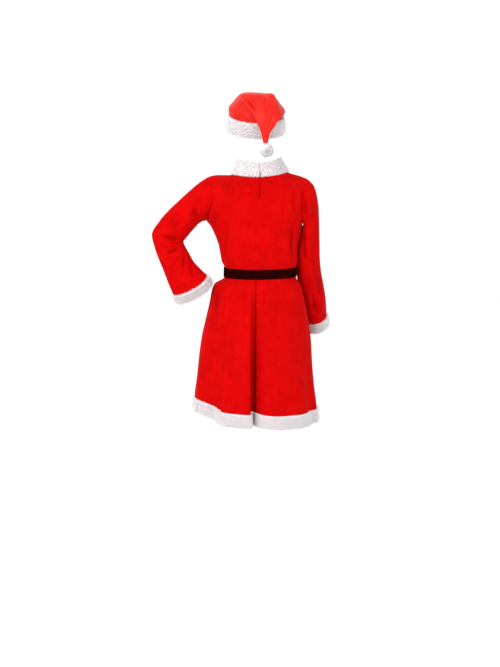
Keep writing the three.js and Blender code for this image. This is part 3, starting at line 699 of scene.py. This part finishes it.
def hatMaterial():
    look = Look(
        "hat velour", Roughness=0.5, Sheen_Weight=0.14, Sheen_Roughness=0.3, Specular_IOR_Level=0.12,
        Sheen_Tint=hatLook["sheenTint"],
    )
    cut = look.add("UVMap", {"uv_map": "cut"})
    place = look.add("TexCoord", (), (), "Object")
    patch = look.noise(place, 14, 2.0, 0.5)
    nap = look.noise(look.stretched(cut, 160, 40), 1.0, 2.0, 0.6)
    pile = look.noise(place, 1500, 2.0, 0.6)
    tone = patch * 0.6 + nap * 0.4
    colour = look.blend(tone.between(0.35, 0.62), hatLook["deep"], hatLook["red"])
    grain = look.blend(pile.between(0.3, 0.7), (0.86, 0.84, 0.84, 1), (1.08, 1.08, 1.08, 1))
    look.onto("Base Color", look.blend(1.0, colour, grain, "MULTIPLY"))
    look.onto("Roughness", 0.42 + tone * 0.16)
    look.bump(pile * 0.5 + nap * 0.6, 0.25, 0.0007)
    return look.material


plushLook = {
    # The dark seam colour is a painted shade for the groove at the collar's split.
    "white": (0.93, 0.90, 0.91, 1), "shade": (0.79, 0.72, 0.74, 1), "seam": (0.10, 0.08, 0.09, 1),
    "sheenTint": (1.0, 0.97, 0.97, 1),
}


def plushMaterial():
    look = Look(
        "plush", Roughness=0.9, Sheen_Weight=0.25, Sheen_Roughness=0.5, Specular_IOR_Level=0.15,
        Sheen_Tint=plushLook["sheenTint"],
    )
    place = look.add("TexCoord", (), (), "Object")
    tuft = look.noise(place, 170, 3.0, 0.6)
    fibre = look.noise(place, 900, 2.0, 0.6)
    tone = look.add("Attribute", {"attribute_name": "tone"}, (), "Fac")
    light = tuft * 0.5 + fibre * 0.2 + tone * 0.3
    pale = look.blend(light.between(0.12, 0.6), plushLook["shade"], plushLook["white"])
    # Painted shade: a negative tone, given only at the collar's split, turns the colour to the dark seam
    # colour, which stands in for the shade in that groove.
    look.onto("Base Color", look.blend(tone.between(-1.8, -0.2), plushLook["seam"], pale))
    look.bump(tuft * 0.8 + fibre * 0.5, 0.4, 0.0015)
    return look.material


beltLook = {"black": (0.009, 0.0005, 0.0005, 1), "worn": (0.017, 0.0008, 0.0008, 1)}


def beltMaterial():
    look = Look("belt cloth", Roughness=0.6, Sheen_Weight=0.0, Specular_IOR_Level=0.0)
    place = look.add("TexCoord", (), (), "Object")
    cut = look.add("UVMap", {"uv_map": "cut"})
    patch = look.noise(place, 60, 2.0, 0.5)
    rib = look.add("TexWave", {"bands_direction": "Y"}, {"Vector": cut, "Scale": 220.0, "Distortion": 0.6}, 1)
    thread = look.noise(look.stretched(cut, 500, 1800), 1.0, 1.0, 0.5)
    wear = (patch * 0.6 + thread * 0.5).between(0.4, 0.75)
    look.onto("Base Color", look.blend(wear, beltLook["black"], beltLook["worn"]))
    look.onto("Roughness", 0.5 + thread * 0.2)
    look.bump(rib * 0.5 + thread * 0.5, 0.3, 0.0004)
    return look.material


print("tables and materials ready")
velvet, hatVelour, plush, beltCloth = velvetMaterial(), hatMaterial(), plushMaterial(), beltMaterial()


# The two panels of the dress, one high and fine grid of points each.
panel = {"sideStep": 1.4, "foldStep": 2.6, "levelStep": 6.4, "yokeFoot": -170, "yokeRows": 36,
         "seamDip": 0.9, "seamReach": 3.2, "seamFade": 10, "blendRows": 14, "blendTimes": 60}
nearSeam = np.array([0, 0.35, 0.9, 1.7])
# Creases die away over these lengths towards the edges of the cloth and towards the belt.
quietEdges = {"side": 14, "top": 12, "hem": 16, "belt": 12, "underBelt": 3, "cuff": 10}


def backColumns():
    folded = np.arange(2 - backFoldReach, backFoldReach + 3, panel["foldStep"])
    angles = np.concatenate([
        nearSeam, np.arange(3, 90 - folded.max() / backFoldSpread, panel["sideStep"]),
        90 - folded[np.abs(folded) > 2] / backFoldSpread, [89.5, 90.5],
        np.arange(90 + backFoldReach / backFoldSpread, 177, panel["sideStep"]), halfTurn - nearSeam,
    ])
    return np.unique(np.round(angles, 3))


def frontColumns():
    angles = np.concatenate([nearSeam, np.arange(3, 177, panel["sideStep"]), halfTurn - nearSeam])
    return halfTurn + np.unique(np.round(angles, 3))


def panelGrid(angles, isBack):
    top = underarm(angles)
    low = np.linspace(0, 1, int((panel["yokeFoot"] - levels["hem"]) / panel["levelStep"]) + 1)[:-1]
    low = np.insert(low, 1, [low[1] / 4, low[1] / 2])
    rows = bodyPoint(angles[None], mix(levels["hem"], top[None], low[:, None]))
    yoke = yokePoint(angles[None], np.linspace(0, 1, panel["yokeRows"] + 1)[:, None], isBack)
    grid = np.concatenate([rows, yoke])
    foot = len(low)
    for _ in range(panel["blendTimes"]):  # the yoke and the body below it run into each other
        part = grid[foot - panel["blendRows"] : foot + panel["blendRows"] + 1, 1:-1]
        part[1:-1] = (part[:-2] + 2 * part[1:-1] + part[2:]) / 4
    heights = np.zeros(grid.shape[:2])
    heights[:foot] = mix(levels["hem"], top[None], low[:, None])
    return grid, foot, heights


# Painted shade: the velvet's colour is darkened in its crease troughs and along the fold at the centre back,
# where shade falls.
centreFold = {"x": 15.5, "lean": 4, "width": 3.0, "tone": 11, "fade": 8}


def panelPiece(name, angles, isBack):
    grid, foot, heights = panelGrid(angles, isBack)
    middle = 90 if isBack else 270
    onShoulder = 1 - np.abs(angles - middle) / 90 <= 0.5
    if isBack:
        openSlit(grid, angles, foot)
    normals = outward(grid, False)
    lift = creaseLift(grid, normals, bodyCreases)
    toSide = gapTo(grid, grid[:, np.where(angles < middle, 0, -1)])
    toTop, toHem = gapTo(grid, grid[-1:]), gapTo(grid, grid[:1])
    toBelt = np.maximum(heights - levels["beltTop"], levels["beltBottom"] - heights) - quietEdges["underBelt"]
    quiet = 1
    for edge, gap in (("side", toSide), ("top", toTop), ("hem", toHem), ("belt", toBelt)):
        quiet = quiet * ease(gap / quietEdges[edge])
    dip = panel["seamDip"] * np.exp(-((np.where(onShoulder, toTop, np.inf) / panel["seamReach"]) ** 2))
    dip[:foot] += panel["seamDip"] * np.exp(-((toSide[:foot] / panel["seamReach"]) ** 2))
    dip *= ease(toHem / panel["seamFade"])
    for column, way in ((0, 1), (-1, -1)):  # at a seam both walls move the same way
        normals[: foot + 1, column] = (way, 0, 0)
    normals[-1, onShoulder] = (0, 0, 1)
    grid = grid + normals * (lift * quiet - dip)[..., None]
    normals = outward(grid, False)
    seam = np.array([0, 1.0, 0])
    for column in (0, -1):
        dropAcross(normals, slice(0, foot + 1), column, seam)
    dropAcross(normals, -1, onShoulder, seam)
    dropAcross(normals, 0, slice(None), upwards)
    # Painted shade: the crease lift becomes the colour's tone, so crease troughs are painted darker.
    isOpen, tone = None, lift.copy()
    if isBack:
        below = levels["beltBottom"] - heights
        lowered = np.clip(below / (levels["beltBottom"] - levels["hem"]), 0, 1)
        # Painted shade: a narrow dark line is painted into the colour along the centre back fold, from just
        # under the belt down.
        away = (grid[..., 0] - (centreFold["x"] + centreFold["lean"] * lowered)) / centreFold["width"]
        tone -= centreFold["tone"] * np.exp(-(away**2)) * ease(below / centreFold["fade"])
        isOpen = lambda i, j: j == slitColumn(angles) and i >= foot and grid[i, j, 2] > slit["foot"] - 1
    thing = clothWall(name, grid, False, normals, isOpen)
    mark(thing, "tone", np.tile(tone.ravel(), 2))
    thing.data.materials.append(velvet)
    return thing


def slitColumn(angles):
    return int(np.searchsorted(angles, 90)) - 1


def openSlit(grid, angles, foot):
    middle = slitColumn(angles)
    top = grid[-1, middle, 2]
    for row in grid[foot:]:
        centre = (row[middle] + row[middle + 1]) / 2
        share = np.clip((centre[2] - slit["foot"]) / (top - slit["foot"]), 0, 1)
        edges = ((middle, 1, slit["width"] * share, 0), (middle + 1, -1, -slit["lap"] * share, slit["under"]))
        for j, way, half, under in edges:
            push = centre[0] + way * half - row[j, 0]
            same = np.arange(0, middle + 1) if way > 0 else np.arange(middle + 1, len(row))
            away = np.abs(row[same, 0] - row[j, 0])
            row[same, 0] += push * np.exp(-away / slit["spread"])
            row[same, 1] -= (slit["dip"] + under) * ease(share * 6) * np.exp(-((away / slit["roll"]) ** 2))


dressBack = panelPiece("dress_back_velvet", backColumns(), True)
dressFront = panelPiece("dress_front_velvet", frontColumns(), False)
finishPiece(dressBack, "velvet", "dress_back")
finishPiece(dressFront, "velvet", "dress_front")
print("panels", len(dressBack.data.polygons), len(dressFront.data.polygons))


# The sleeves, from the shoulder seam to the cuff.
sleeves = {"rows": 110, "around": 96, "creases": 1.2}


def sleeveEnd(ring):
    top, front, under = [sleevePoint(ring, angle) for angle in (0.0, 90.0, 180.0)]
    facing = unit(np.cross(top - under, front - under))
    return -facing if facing[2] > 0 else facing


def sleevePiece(name, rings, creases):
    places = np.unique(np.append(np.linspace(0, rings["place"][-1], sleeves["rows"]), [1.5, 3.5, 6]))
    grid = sleevePoint(ringsAlong(rings, places), allRound(sleeves["around"])[None])
    normals = outward(grid, True)
    lift = sleeves["creases"] * creaseLift(grid, normals, creases)
    quiet = ease(gapTo(grid, grid[:1]) / quietEdges["side"])
    grid = grid + normals * (lift * quiet * ease(gapTo(grid, grid[-1:]) / quietEdges["cuff"]))[..., None]
    aside = np.array([np.sign(rings["outX"][0]), 0, 0])
    normals = outward(grid, True)
    dropAcross(normals, 0, slice(None), aside)
    dropAcross(normals, -1, slice(None), sleeveEnd(rowOf(rings, -1)))
    thing = clothWall(name, grid, True, normals)
    # Painted shade: the crease lift is marked as tone, so the sleeve's crease troughs are painted darker.
    mark(thing, "tone", np.tile(lift.ravel(), 2))
    thing.data.materials.append(velvet)
    return thing


sleeveLeft = sleevePiece("sleeve_left_velvet", leftSleeve, leftSleeveCreases)
sleeveRight = sleevePiece("sleeve_right_velvet", rightSleeve, rightSleeveCreases)
finishPiece(sleeveLeft, "velvet", "sleeve_left")
finishPiece(sleeveRight, "velvet", "sleeve_right")
print("sleeves", len(sleeveLeft.data.polygons), len(sleeveRight.data.polygons))


# Plush: a rounded backing with short strands planted all over it by Geometry Nodes.
def strandMesh():
    corners = [(math.cos(turn), math.sin(turn), 0) for turn in (0, math.tau / 3, 2 * math.tau / 3)]
    mesh = bpy.data.meshes.new("strand")
    mesh.from_pydata(corners + [(0.9, 0, 1)], [], [(2, 1, 0), (0, 1, 3), (1, 2, 3), (2, 0, 3)])
    mesh.shade_smooth()
    return bpy.data.objects.new("strand", mesh)


def plushTree():
    tree = bpy.data.node_groups.new("plush strands", "GeometryNodeTree")
    sockets = {
        "Backing": "Geometry", "Strand": "Object", "Density": "Float", "Seed": "Int", "Length": "Float",
        "Thickness": "Float", "Lean": "Float", "Tuft size": "Float", "Droop": "Float", "Finish": "Material",
    }
    for name, kind in sockets.items():
        tree.interface.new_socket(name=name, in_out="INPUT", socket_type="NodeSocket" + kind)
    tree.interface.new_socket(name="Plush", in_out="OUTPUT", socket_type="NodeSocketGeometry")

    def add(kind, settings=(), inputs=()):
        node = tree.nodes.new(kind)
        for key, value in dict(settings).items():
            setattr(node, key, value)
        for key, value in dict(inputs).items():
            if isinstance(value, bpy.types.NodeSocket):
                tree.links.new(value, node.inputs[key])
            else:
                node.inputs[key].default_value = value
        return node

    def vectors(operation, first, second, key=1):
        return add("ShaderNodeVectorMath", {"operation": operation}, {0: first, key: second}).outputs[0]

    def scaled(vector, factor):
        return vectors("SCALE", vector, factor, "Scale")

    def random(kind, low, high, seed):
        node = add("FunctionNodeRandomValue", {"data_type": kind}, {"Seed": seed})
        ends = [socket for socket in node.inputs if socket.enabled and socket.name in ("Min", "Max")]
        ends[0].default_value, ends[1].default_value = low, high
        return [socket for socket in node.outputs if socket.enabled][0]

    given = add("NodeGroupInput").outputs
    named = add("GeometryNodeInputNamedAttribute", {"data_type": "FLOAT"}, {"Name": "cover"})
    cover = named.outputs["Attribute"]
    thick = add("ShaderNodeMath", {"operation": "MULTIPLY"}, {0: given["Density"], 1: cover})
    points = add(
        "GeometryNodeDistributePointsOnFaces", {"distribute_method": "RANDOM"},
        {"Mesh": given["Backing"], "Density": thick.outputs[0], "Seed": given["Seed"]},
    )
    where = add("GeometryNodeInputPosition").outputs[0]
    tuft = add("ShaderNodeTexNoise", (), {"Vector": where, "Scale": given["Tuft size"], "Detail": 1.0})
    combed = scaled(vectors("SUBTRACT", tuft.outputs["Color"], (0.5, 0.5, 0.5)), given["Lean"])
    stray = scaled(random("FLOAT_VECTOR", (-1, -1, -1), (1, 1, 1), 3), 0.34)
    fall = scaled((0, 0, -1), given["Droop"])
    way = vectors("ADD", vectors("ADD", points.outputs["Normal"], combed), vectors("ADD", stray, fall))
    aimed = add("FunctionNodeAlignRotationToVector", {"axis": "Z"}, {"Vector": way})
    angle = random("FLOAT", 0, math.tau, 5)
    turn = add("FunctionNodeAxisAngleToRotation", (), {"Axis": (0, 0, 1), "Angle": angle})
    turned = add(
        "FunctionNodeRotateRotation", {"rotation_space": "LOCAL"},
        {"Rotation": aimed.outputs[0], "Rotate By": turn.outputs[0]},
    )
    wide = scaled((1, 1, 0), given["Thickness"])
    tall = scaled(scaled((0, 0, 1), random("FLOAT", 0.55, 1.0, 7)), given["Length"])
    strand = add("GeometryNodeObjectInfo", (), {"Object": given["Strand"]}).outputs["Geometry"]
    planted = add(
        "GeometryNodeInstanceOnPoints", (),
        {"Points": points.outputs["Points"], "Instance": strand, "Rotation": turned.outputs[0],
         "Scale": vectors("ADD", wide, tall)},
    )
    toned = add(
        "GeometryNodeStoreNamedAttribute", {"data_type": "FLOAT", "domain": "INSTANCE"},
        {"Geometry": planted.outputs[0], "Name": "tone", "Value": random("FLOAT", 0, 1, 9)},
    )
    both = add("GeometryNodeJoinGeometry")
    tree.links.new(toned.outputs[0], both.inputs[0])
    tree.links.new(given["Backing"], both.inputs[0])
    real = add("GeometryNodeRealizeInstances", (), {"Geometry": both.outputs[0]})
    done = add("GeometryNodeSetMaterial", (), {"Geometry": real.outputs[0], "Material": given["Finish"]})
    tree.links.new(done.outputs[0], add("NodeGroupOutput").inputs[0])
    return tree


strand = strandMesh()
plushNodes = plushTree()
strandLook = {"thickness": 0.62, "tuftSize": 150}


def coverWithPlush(thing, strands, length, seed, lean=1.1, droop=0.12):
    mesh = thing.data
    cover = np.zeros(len(mesh.vertices))
    mesh.attributes["cover"].data.foreach_get("value", cover)
    covered = sum(face.area * np.mean([cover[i] for i in face.vertices]) for face in mesh.polygons)
    values = {
        "Strand": strand, "Density": strands / covered, "Seed": seed, "Length": length * mm,
        "Thickness": strandLook["thickness"] * mm, "Tuft size": strandLook["tuftSize"],
        "Lean": lean, "Droop": droop, "Finish": plush,
    }
    modifier = thing.modifiers.new("plush", "NODES")
    modifier.node_group = plushNodes
    for item in plushNodes.interface.items_tree:
        if item.in_out == "INPUT" and item.name in values:
            modifier[item.identifier] = values[item.name]
    thing.update_tag()
    bpy.context.view_layer.update()
    seen = thing.evaluated_get(bpy.context.evaluated_depsgraph_get())
    finished = bpy.data.meshes.new_from_object(seen)
    thing.modifiers.remove(modifier)
    finished.name = thing.name
    thing.data = finished
    print("plush", thing.name, len(finished.polygons))


profile = {"points": 26, "roundness": 0.42}


def profileLoop(out, inside):  # shares down a trim, reaches outwards, and how much pile each point has
    turn = np.linspace(0, math.tau, profile["points"], endpoint=False)
    side = np.sin(turn)
    down = 0.5 - 0.5 * np.sign(np.cos(turn)) * np.abs(np.cos(turn)) ** profile["roundness"]
    reach = np.where(side > 0, out, inside) * np.sign(side) * np.abs(side) ** profile["roundness"]
    pile = np.where(side > 0.25, 1.0, np.where(side > -0.3, 0.75, 0.2))
    return down, reach, pile


def tubeFaces(count, around, closed):  # joins equal loops of points, and caps the two ends of an open row
    faces = []
    for i in range(count if closed else count - 1):
        for j in range(around):
            k, l = (i + 1) % count, (j + 1) % around
            faces.append((i * around + j, i * around + l, k * around + l, k * around + j))
    if not closed:
        faces.append(tuple(range(around))[::-1])
        faces.append(tuple((count - 1) * around + j for j in range(around)))
    return faces


def bandBacking(name, edges, downs, outs, heights, out, inside, closed):
    down, reach, pile = profileLoop(out, inside)
    grid = (
        edges[:, None] + downs[:, None] * (down[None] * np.asarray(heights)[:, None])[..., None]
        + outs[:, None] * reach[None, :, None]
    )
    faces = tubeFaces(*grid.shape[:2], closed)
    thing = pointOut(makeMesh(name, grid.reshape(-1, 3), faces))
    mark(thing, "cover", np.tile(pile, len(grid)))
    thing.data.materials.append(plush)
    return thing


hem = {"height": 50, "out": 2.8, "in": 1.6, "strands": 42000, "length": 7, "top": 2.5, "inset": 5}


def hemPiece():
    angles = np.concatenate([backColumns(), frontColumns()[1:-1]])
    edge = bodyPoint(angles, levels["hem"])
    down = unit(bodyPoint(angles, levels["hem"] - hem["height"]) - edge)
    around = bodyPoint(angles + 0.4, levels["hem"]) - bodyPoint(angles - 0.4, levels["hem"])
    out = unit(-np.cross(down, around))
    out = (np.roll(out, 1, 0) + 2 * out + np.roll(out, -1, 0)) / 4  # smoother from place to place
    out *= np.sign((out * (edge - edge.mean(0))).sum())
    heights = np.full(len(angles), hem["height"] - hem["inset"])
    thing = bandBacking(
        "hem_plush", edge + down * hem["top"], down, unit(out), heights, hem["out"], hem["in"], True
    )
    coverWithPlush(thing, hem["strands"], hem["length"], 11)
    return thing


hemBand = hemPiece()
finishPiece(hemBand, "plush", "hem_band")

cuff = {"length": 38, "inset": 2, "around": 72, "out": 2.8, "in": 1.4, "strands": 11000, "pile": 7.5}


def cuffPiece(name, rings, seed):
    last = rowOf(rings, -1)
    ring = sleevePoint(last, allRound(cuff["around"]))
    facing = sleeveEnd(last)
    downs = np.tile(facing, (len(ring), 1))
    outs = unit(ring - ring.mean(0))
    edges = ring + facing * cloth["gap"]
    heights = np.full(len(ring), cuff["length"] - cuff["inset"])
    thing = bandBacking(name, edges, downs, outs, heights, cuff["out"], cuff["in"], True)
    coverWithPlush(thing, cuff["strands"], cuff["pile"], seed)
    return thing


cuffLeft = cuffPiece("cuff_left_plush", leftSleeve, 21)
cuffRight = cuffPiece("cuff_right_plush", rightSleeve, 22)
finishPiece(cuffLeft, "plush", "cuff_left")
finishPiece(cuffRight, "plush", "cuff_right")

collar = {"split": 0.6, "out": 3.2, "in": 1.6, "strands": 18000, "length": 6, "bare": 1.6, "foot": 2,
          "inset": 2, "columns": 150}


def collarPiece():
    angles = np.linspace(90 + collar["split"], 450 - collar["split"], collar["columns"])
    foot = neckPoint(neckline, angles) + np.array([0, 0, cloth["gap"]])
    up = neckPoint(collarTop, angles) - foot
    heights = np.linalg.norm(up, axis=-1) - collar["inset"] - collar["foot"]
    outs = spot(cosine(angles), sine(angles), 0.0)
    foot = foot + unit(up) * collar["foot"]
    thing = bandBacking("collar_plush", foot, unit(up), outs, heights, collar["out"], collar["in"], False)
    fromSplit = np.minimum(angles - angles[0], angles[-1] - angles)
    bare = np.repeat(1 - ease(fromSplit / collar["bare"]), profile["points"])
    # Painted shade: the bare backing at the split is marked with a negative tone, which paints it dark where
    # the split lies in shade.
    mark(thing, "tone", -2 * bare)
    for point, value in zip(thing.data.attributes["cover"].data, bare):
        point.value *= 1 - value
    coverWithPlush(thing, collar["strands"], collar["length"], 31, droop=0.02)
    return thing


collarBand = collarPiece()
finishPiece(collarBand, "plush", "collar")

# The hat: a soft cone that folds over behind, its plush band and its pompom.
hat = {"rows": 120, "around": 112, "bandAround": 110, "bandHeight": 56, "bandTop": 4, "bandInset": 3,
       "bandOut": 4.5, "bandIn": 1.6, "flare": 2, "strands": 26000, "pile": 7}


def hatPoint(ring, angle):
    squared = [np.sign(v) * np.abs(v) ** (2 / ring["square"]) for v in (sine(angle), cosine(angle))]
    x = ring["centre"] + ring["half"] * squared[0]
    share = (1 + squared[1]) / 2
    tilt = hatTilt * (x - hatRings["centre"][0])
    return spot(x, mix(ring["inY"], ring["outY"], share), mix(ring["inZ"], ring["outZ"], share) + tilt)


def hatCrownPiece():
    places = np.linspace(0, hatRings["place"][-1], hat["rows"])
    grid = hatPoint(ringsAlong(hatRings, places), allRound(hat["around"])[None])
    normals = outward(grid, True)
    lift = creaseLift(grid, normals, hatCreases)
    grid = grid + normals * (lift * ease(gapTo(grid, grid[:1]) / quietEdges["top"]))[..., None]
    normals = outward(grid, True)
    dropAcross(normals, 0, slice(None), upwards)
    dropAcross(normals, -1, slice(None), upwards)
    thing = clothWall("hat_crown_velour", grid, True, normals, None, -upwards)
    thing.data.materials.append(hatVelour)
    return thing


def hatBandPiece():
    first = rowOf(hatRings, 0)
    angles = allRound(hat["bandAround"])
    slope = (first["inZ"] - first["outZ"]) / (first["inY"] - first["outY"])
    down = unit(np.array([0, slope, -1]))
    outs = spot(sine(angles), -cosine(angles), 0.0)
    downs = unit(down * hat["bandHeight"] + outs * hat["flare"])
    edges = hatPoint(first, angles) + down * hat["bandTop"]
    heights = np.full(len(angles), hat["bandHeight"] - hat["bandTop"] - hat["bandInset"])
    thing = bandBacking("hat_band_plush", edges, downs, outs, heights, hat["bandOut"], hat["bandIn"], True)
    coverWithPlush(thing, hat["strands"], hat["pile"], 41, droop=0.1)
    return thing


pompom = {"x": -21, "y": 139, "z": 88.5, "core": 16.5, "rings": 24, "around": 36, "strands": 15000, "pile": 9.5}
pompomLumps = table("out around start down", [
    (0.05, 3, 1.2, 2),
    (0.04, 5, -0.4, 3),
])


def pompomPiece():
    rings, around = pompom["rings"], pompom["around"]
    fall = np.linspace(0, math.pi, rings + 2)[1:-1][:, None]
    turn = np.arange(around) * math.tau / around
    lumps = 1
    for lump in eachRow(pompomLumps):
        wave = np.sin(lump["around"] * turn + lump["start"])
        lumps = lumps + lump["out"] * wave * np.sin(lump["down"] * fall)
    reach = pompom["core"] * lumps
    wide = reach * np.sin(fall)
    grid = spot(wide * np.cos(turn), wide * np.sin(turn), reach * np.cos(fall))
    points = list(grid.reshape(-1, 3)) + [np.array([0, 0, pompom["core"]]), np.array([0, 0, -pompom["core"]])]
    top, bottom = len(points) - 2, len(points) - 1
    faces = []
    for j in range(around):
        k = (j + 1) % around
        faces.append((top, j, k))
        faces.append((bottom, (rings - 1) * around + k, (rings - 1) * around + j))
        for i in range(rings - 1):
            faces.append((i * around + j, (i + 1) * around + j, (i + 1) * around + k, i * around + k))
    points = np.array(points) + np.array([pompom["x"], pompom["y"], pompom["z"]])
    thing = pointOut(makeMesh("hat_pompom_plush", points, faces))
    mark(thing, "cover", np.ones(len(points)))
    thing.data.materials.append(plush)
    coverWithPlush(thing, pompom["strands"], pompom["pile"], 51, lean=0.8, droop=0.05)
    return thing


hatCrown, hatBand, hatPompom = hatCrownPiece(), hatBandPiece(), pompomPiece()
finishPiece(hatCrown, "hat_velour", "hat_crown")
finishPiece(hatBand, "plush", "hat_band")
finishPiece(hatPompom, "plush", "hat_pompom")
print("hat ready")

# The belt goes once round the waist, and its free end lies over its start at the front.
belt = {"thick": 2.3, "start": 259, "overlap": 40, "climb": 16, "step": 1.5}
beltSection = table("down out", [
    (0, 0.75), (0.02, 0.95), (0.06, 1), (0.13, 0.9), (0.25, 1), (0.5, 1.03), (0.75, 1), (0.87, 0.9), (0.94, 1),
    (0.98, 0.95), (1, 0.75), (1, 0.25), (0.98, 0.05), (0.75, 0), (0.5, 0), (0.25, 0), (0.02, 0.05), (0, 0.25),
])


def beltPiece():
    end = belt["start"] + 360 + belt["overlap"]
    angles = np.arange(belt["start"], end + 0.01, belt["step"])
    climbed = ease((angles - belt["start"] - 360 + belt["climb"]) / belt["climb"])
    lap = climbed * (belt["thick"] + cloth["gap"])
    rows = []
    for place in eachRow(beltSection):
        level = mix(levels["beltTop"], levels["beltBottom"], place["down"])
        point = bodyPoint(angles, level)
        around = bodyPoint(angles + 1, level) - bodyPoint(angles - 1, level)
        away = unit(spot(around[:, 1], -around[:, 0], 0.0))
        rows.append(point + away * (cloth["gap"] * 2 + place["out"] * belt["thick"] + lap)[:, None])
    grid = np.stack(rows, 1)
    along = np.append(0, np.cumsum(np.linalg.norm(np.diff(grid[:, 5], axis=0), axis=-1)))
    print("belt length", round(along[-1]))
    downwards = beltSection["down"] * (levels["beltTop"] - levels["beltBottom"])
    uvs = np.stack(np.broadcast_arrays(along[:, None], downwards[None]), -1).reshape(-1, 2)
    faces = tubeFaces(*grid.shape[:2], False)
    thing = pointOut(makeMesh("belt_band", grid.reshape(-1, 3), faces, uvs))
    thing.data.materials.append(beltCloth)
    return thing


beltBand = beltPiece()
finishPiece(beltBand, "belt", "belt")
print("belt ready")
# Camera, floor and light.
def stand(name, data, place, aim):
    thing = bpy.data.objects.new(name, data)
    thing.location = place
    thing.rotation_euler = (Vector(aim) - Vector(place)).to_track_quat("-Z", "Y").to_euler()
    bpy.context.scene.collection.objects.link(thing)
    return thing


shot = {"from": (0.036, 3.9, 0.04), "to": (0.036, 0, -0.5666), "angle": 34.2}
camera = bpy.data.cameras.new("camera")
camera.sensor_fit = "VERTICAL"
camera.sensor_height = 24
camera.lens = 12 / math.tan(math.radians(shot["angle"] / 2))
bpy.context.scene.camera = stand("camera", camera, shot["from"], shot["to"])
bpy.context.scene.view_settings.view_transform = "Standard"

lightsAim = (0, 0, -0.45)
lights = [
    {"name": "key", "from": (1.9, 3.1, 1.7), "size": 1.5, "power": 112, "colour": (1, 0.985, 0.97)},
    {"name": "fill", "from": (-2.6, 3.2, 0.5), "size": 2.4, "power": 40, "colour": (0.97, 0.985, 1)},
    {"name": "rim", "from": (0.4, -3.0, 2.2), "size": 2.4, "power": 20, "colour": (1, 1, 1)},
]
for light in lights:
    lamp = bpy.data.lights.new(light["name"], "AREA")
    lamp.size, lamp.energy, lamp.color = light["size"], light["power"], light["colour"]
    stand(light["name"], lamp, light["from"], lightsAim)

surround = {"colour": (1, 1, 1, 1), "strength": 1.1, "floorLevel": -1440, "floorSize": 9000}
world = bpy.data.worlds.new("studio")
world.use_nodes = True
world.node_tree.nodes["Background"].inputs["Color"].default_value = surround["colour"]
world.node_tree.nodes["Background"].inputs["Strength"].default_value = surround["strength"]
bpy.context.scene.world = world

half = surround["floorSize"]
corners = [(-half, -half), (half, -half), (half, half), (-half, half)]
floor = makeMesh("floor", [(x, y, surround["floorLevel"]) for x, y in corners], [(0, 1, 2, 3)])
pale = Look("floor paint", Roughness=0.85)
place = pale.add("TexCoord", (), (), "Object")
pale.onto("Base Color", pale.blend(pale.noise(place, 1.5), (0.9, 0.9, 0.9, 1), (0.93, 0.93, 0.93, 1)))
floor.data.materials.append(pale.material)
print("camera, floor and light ready")
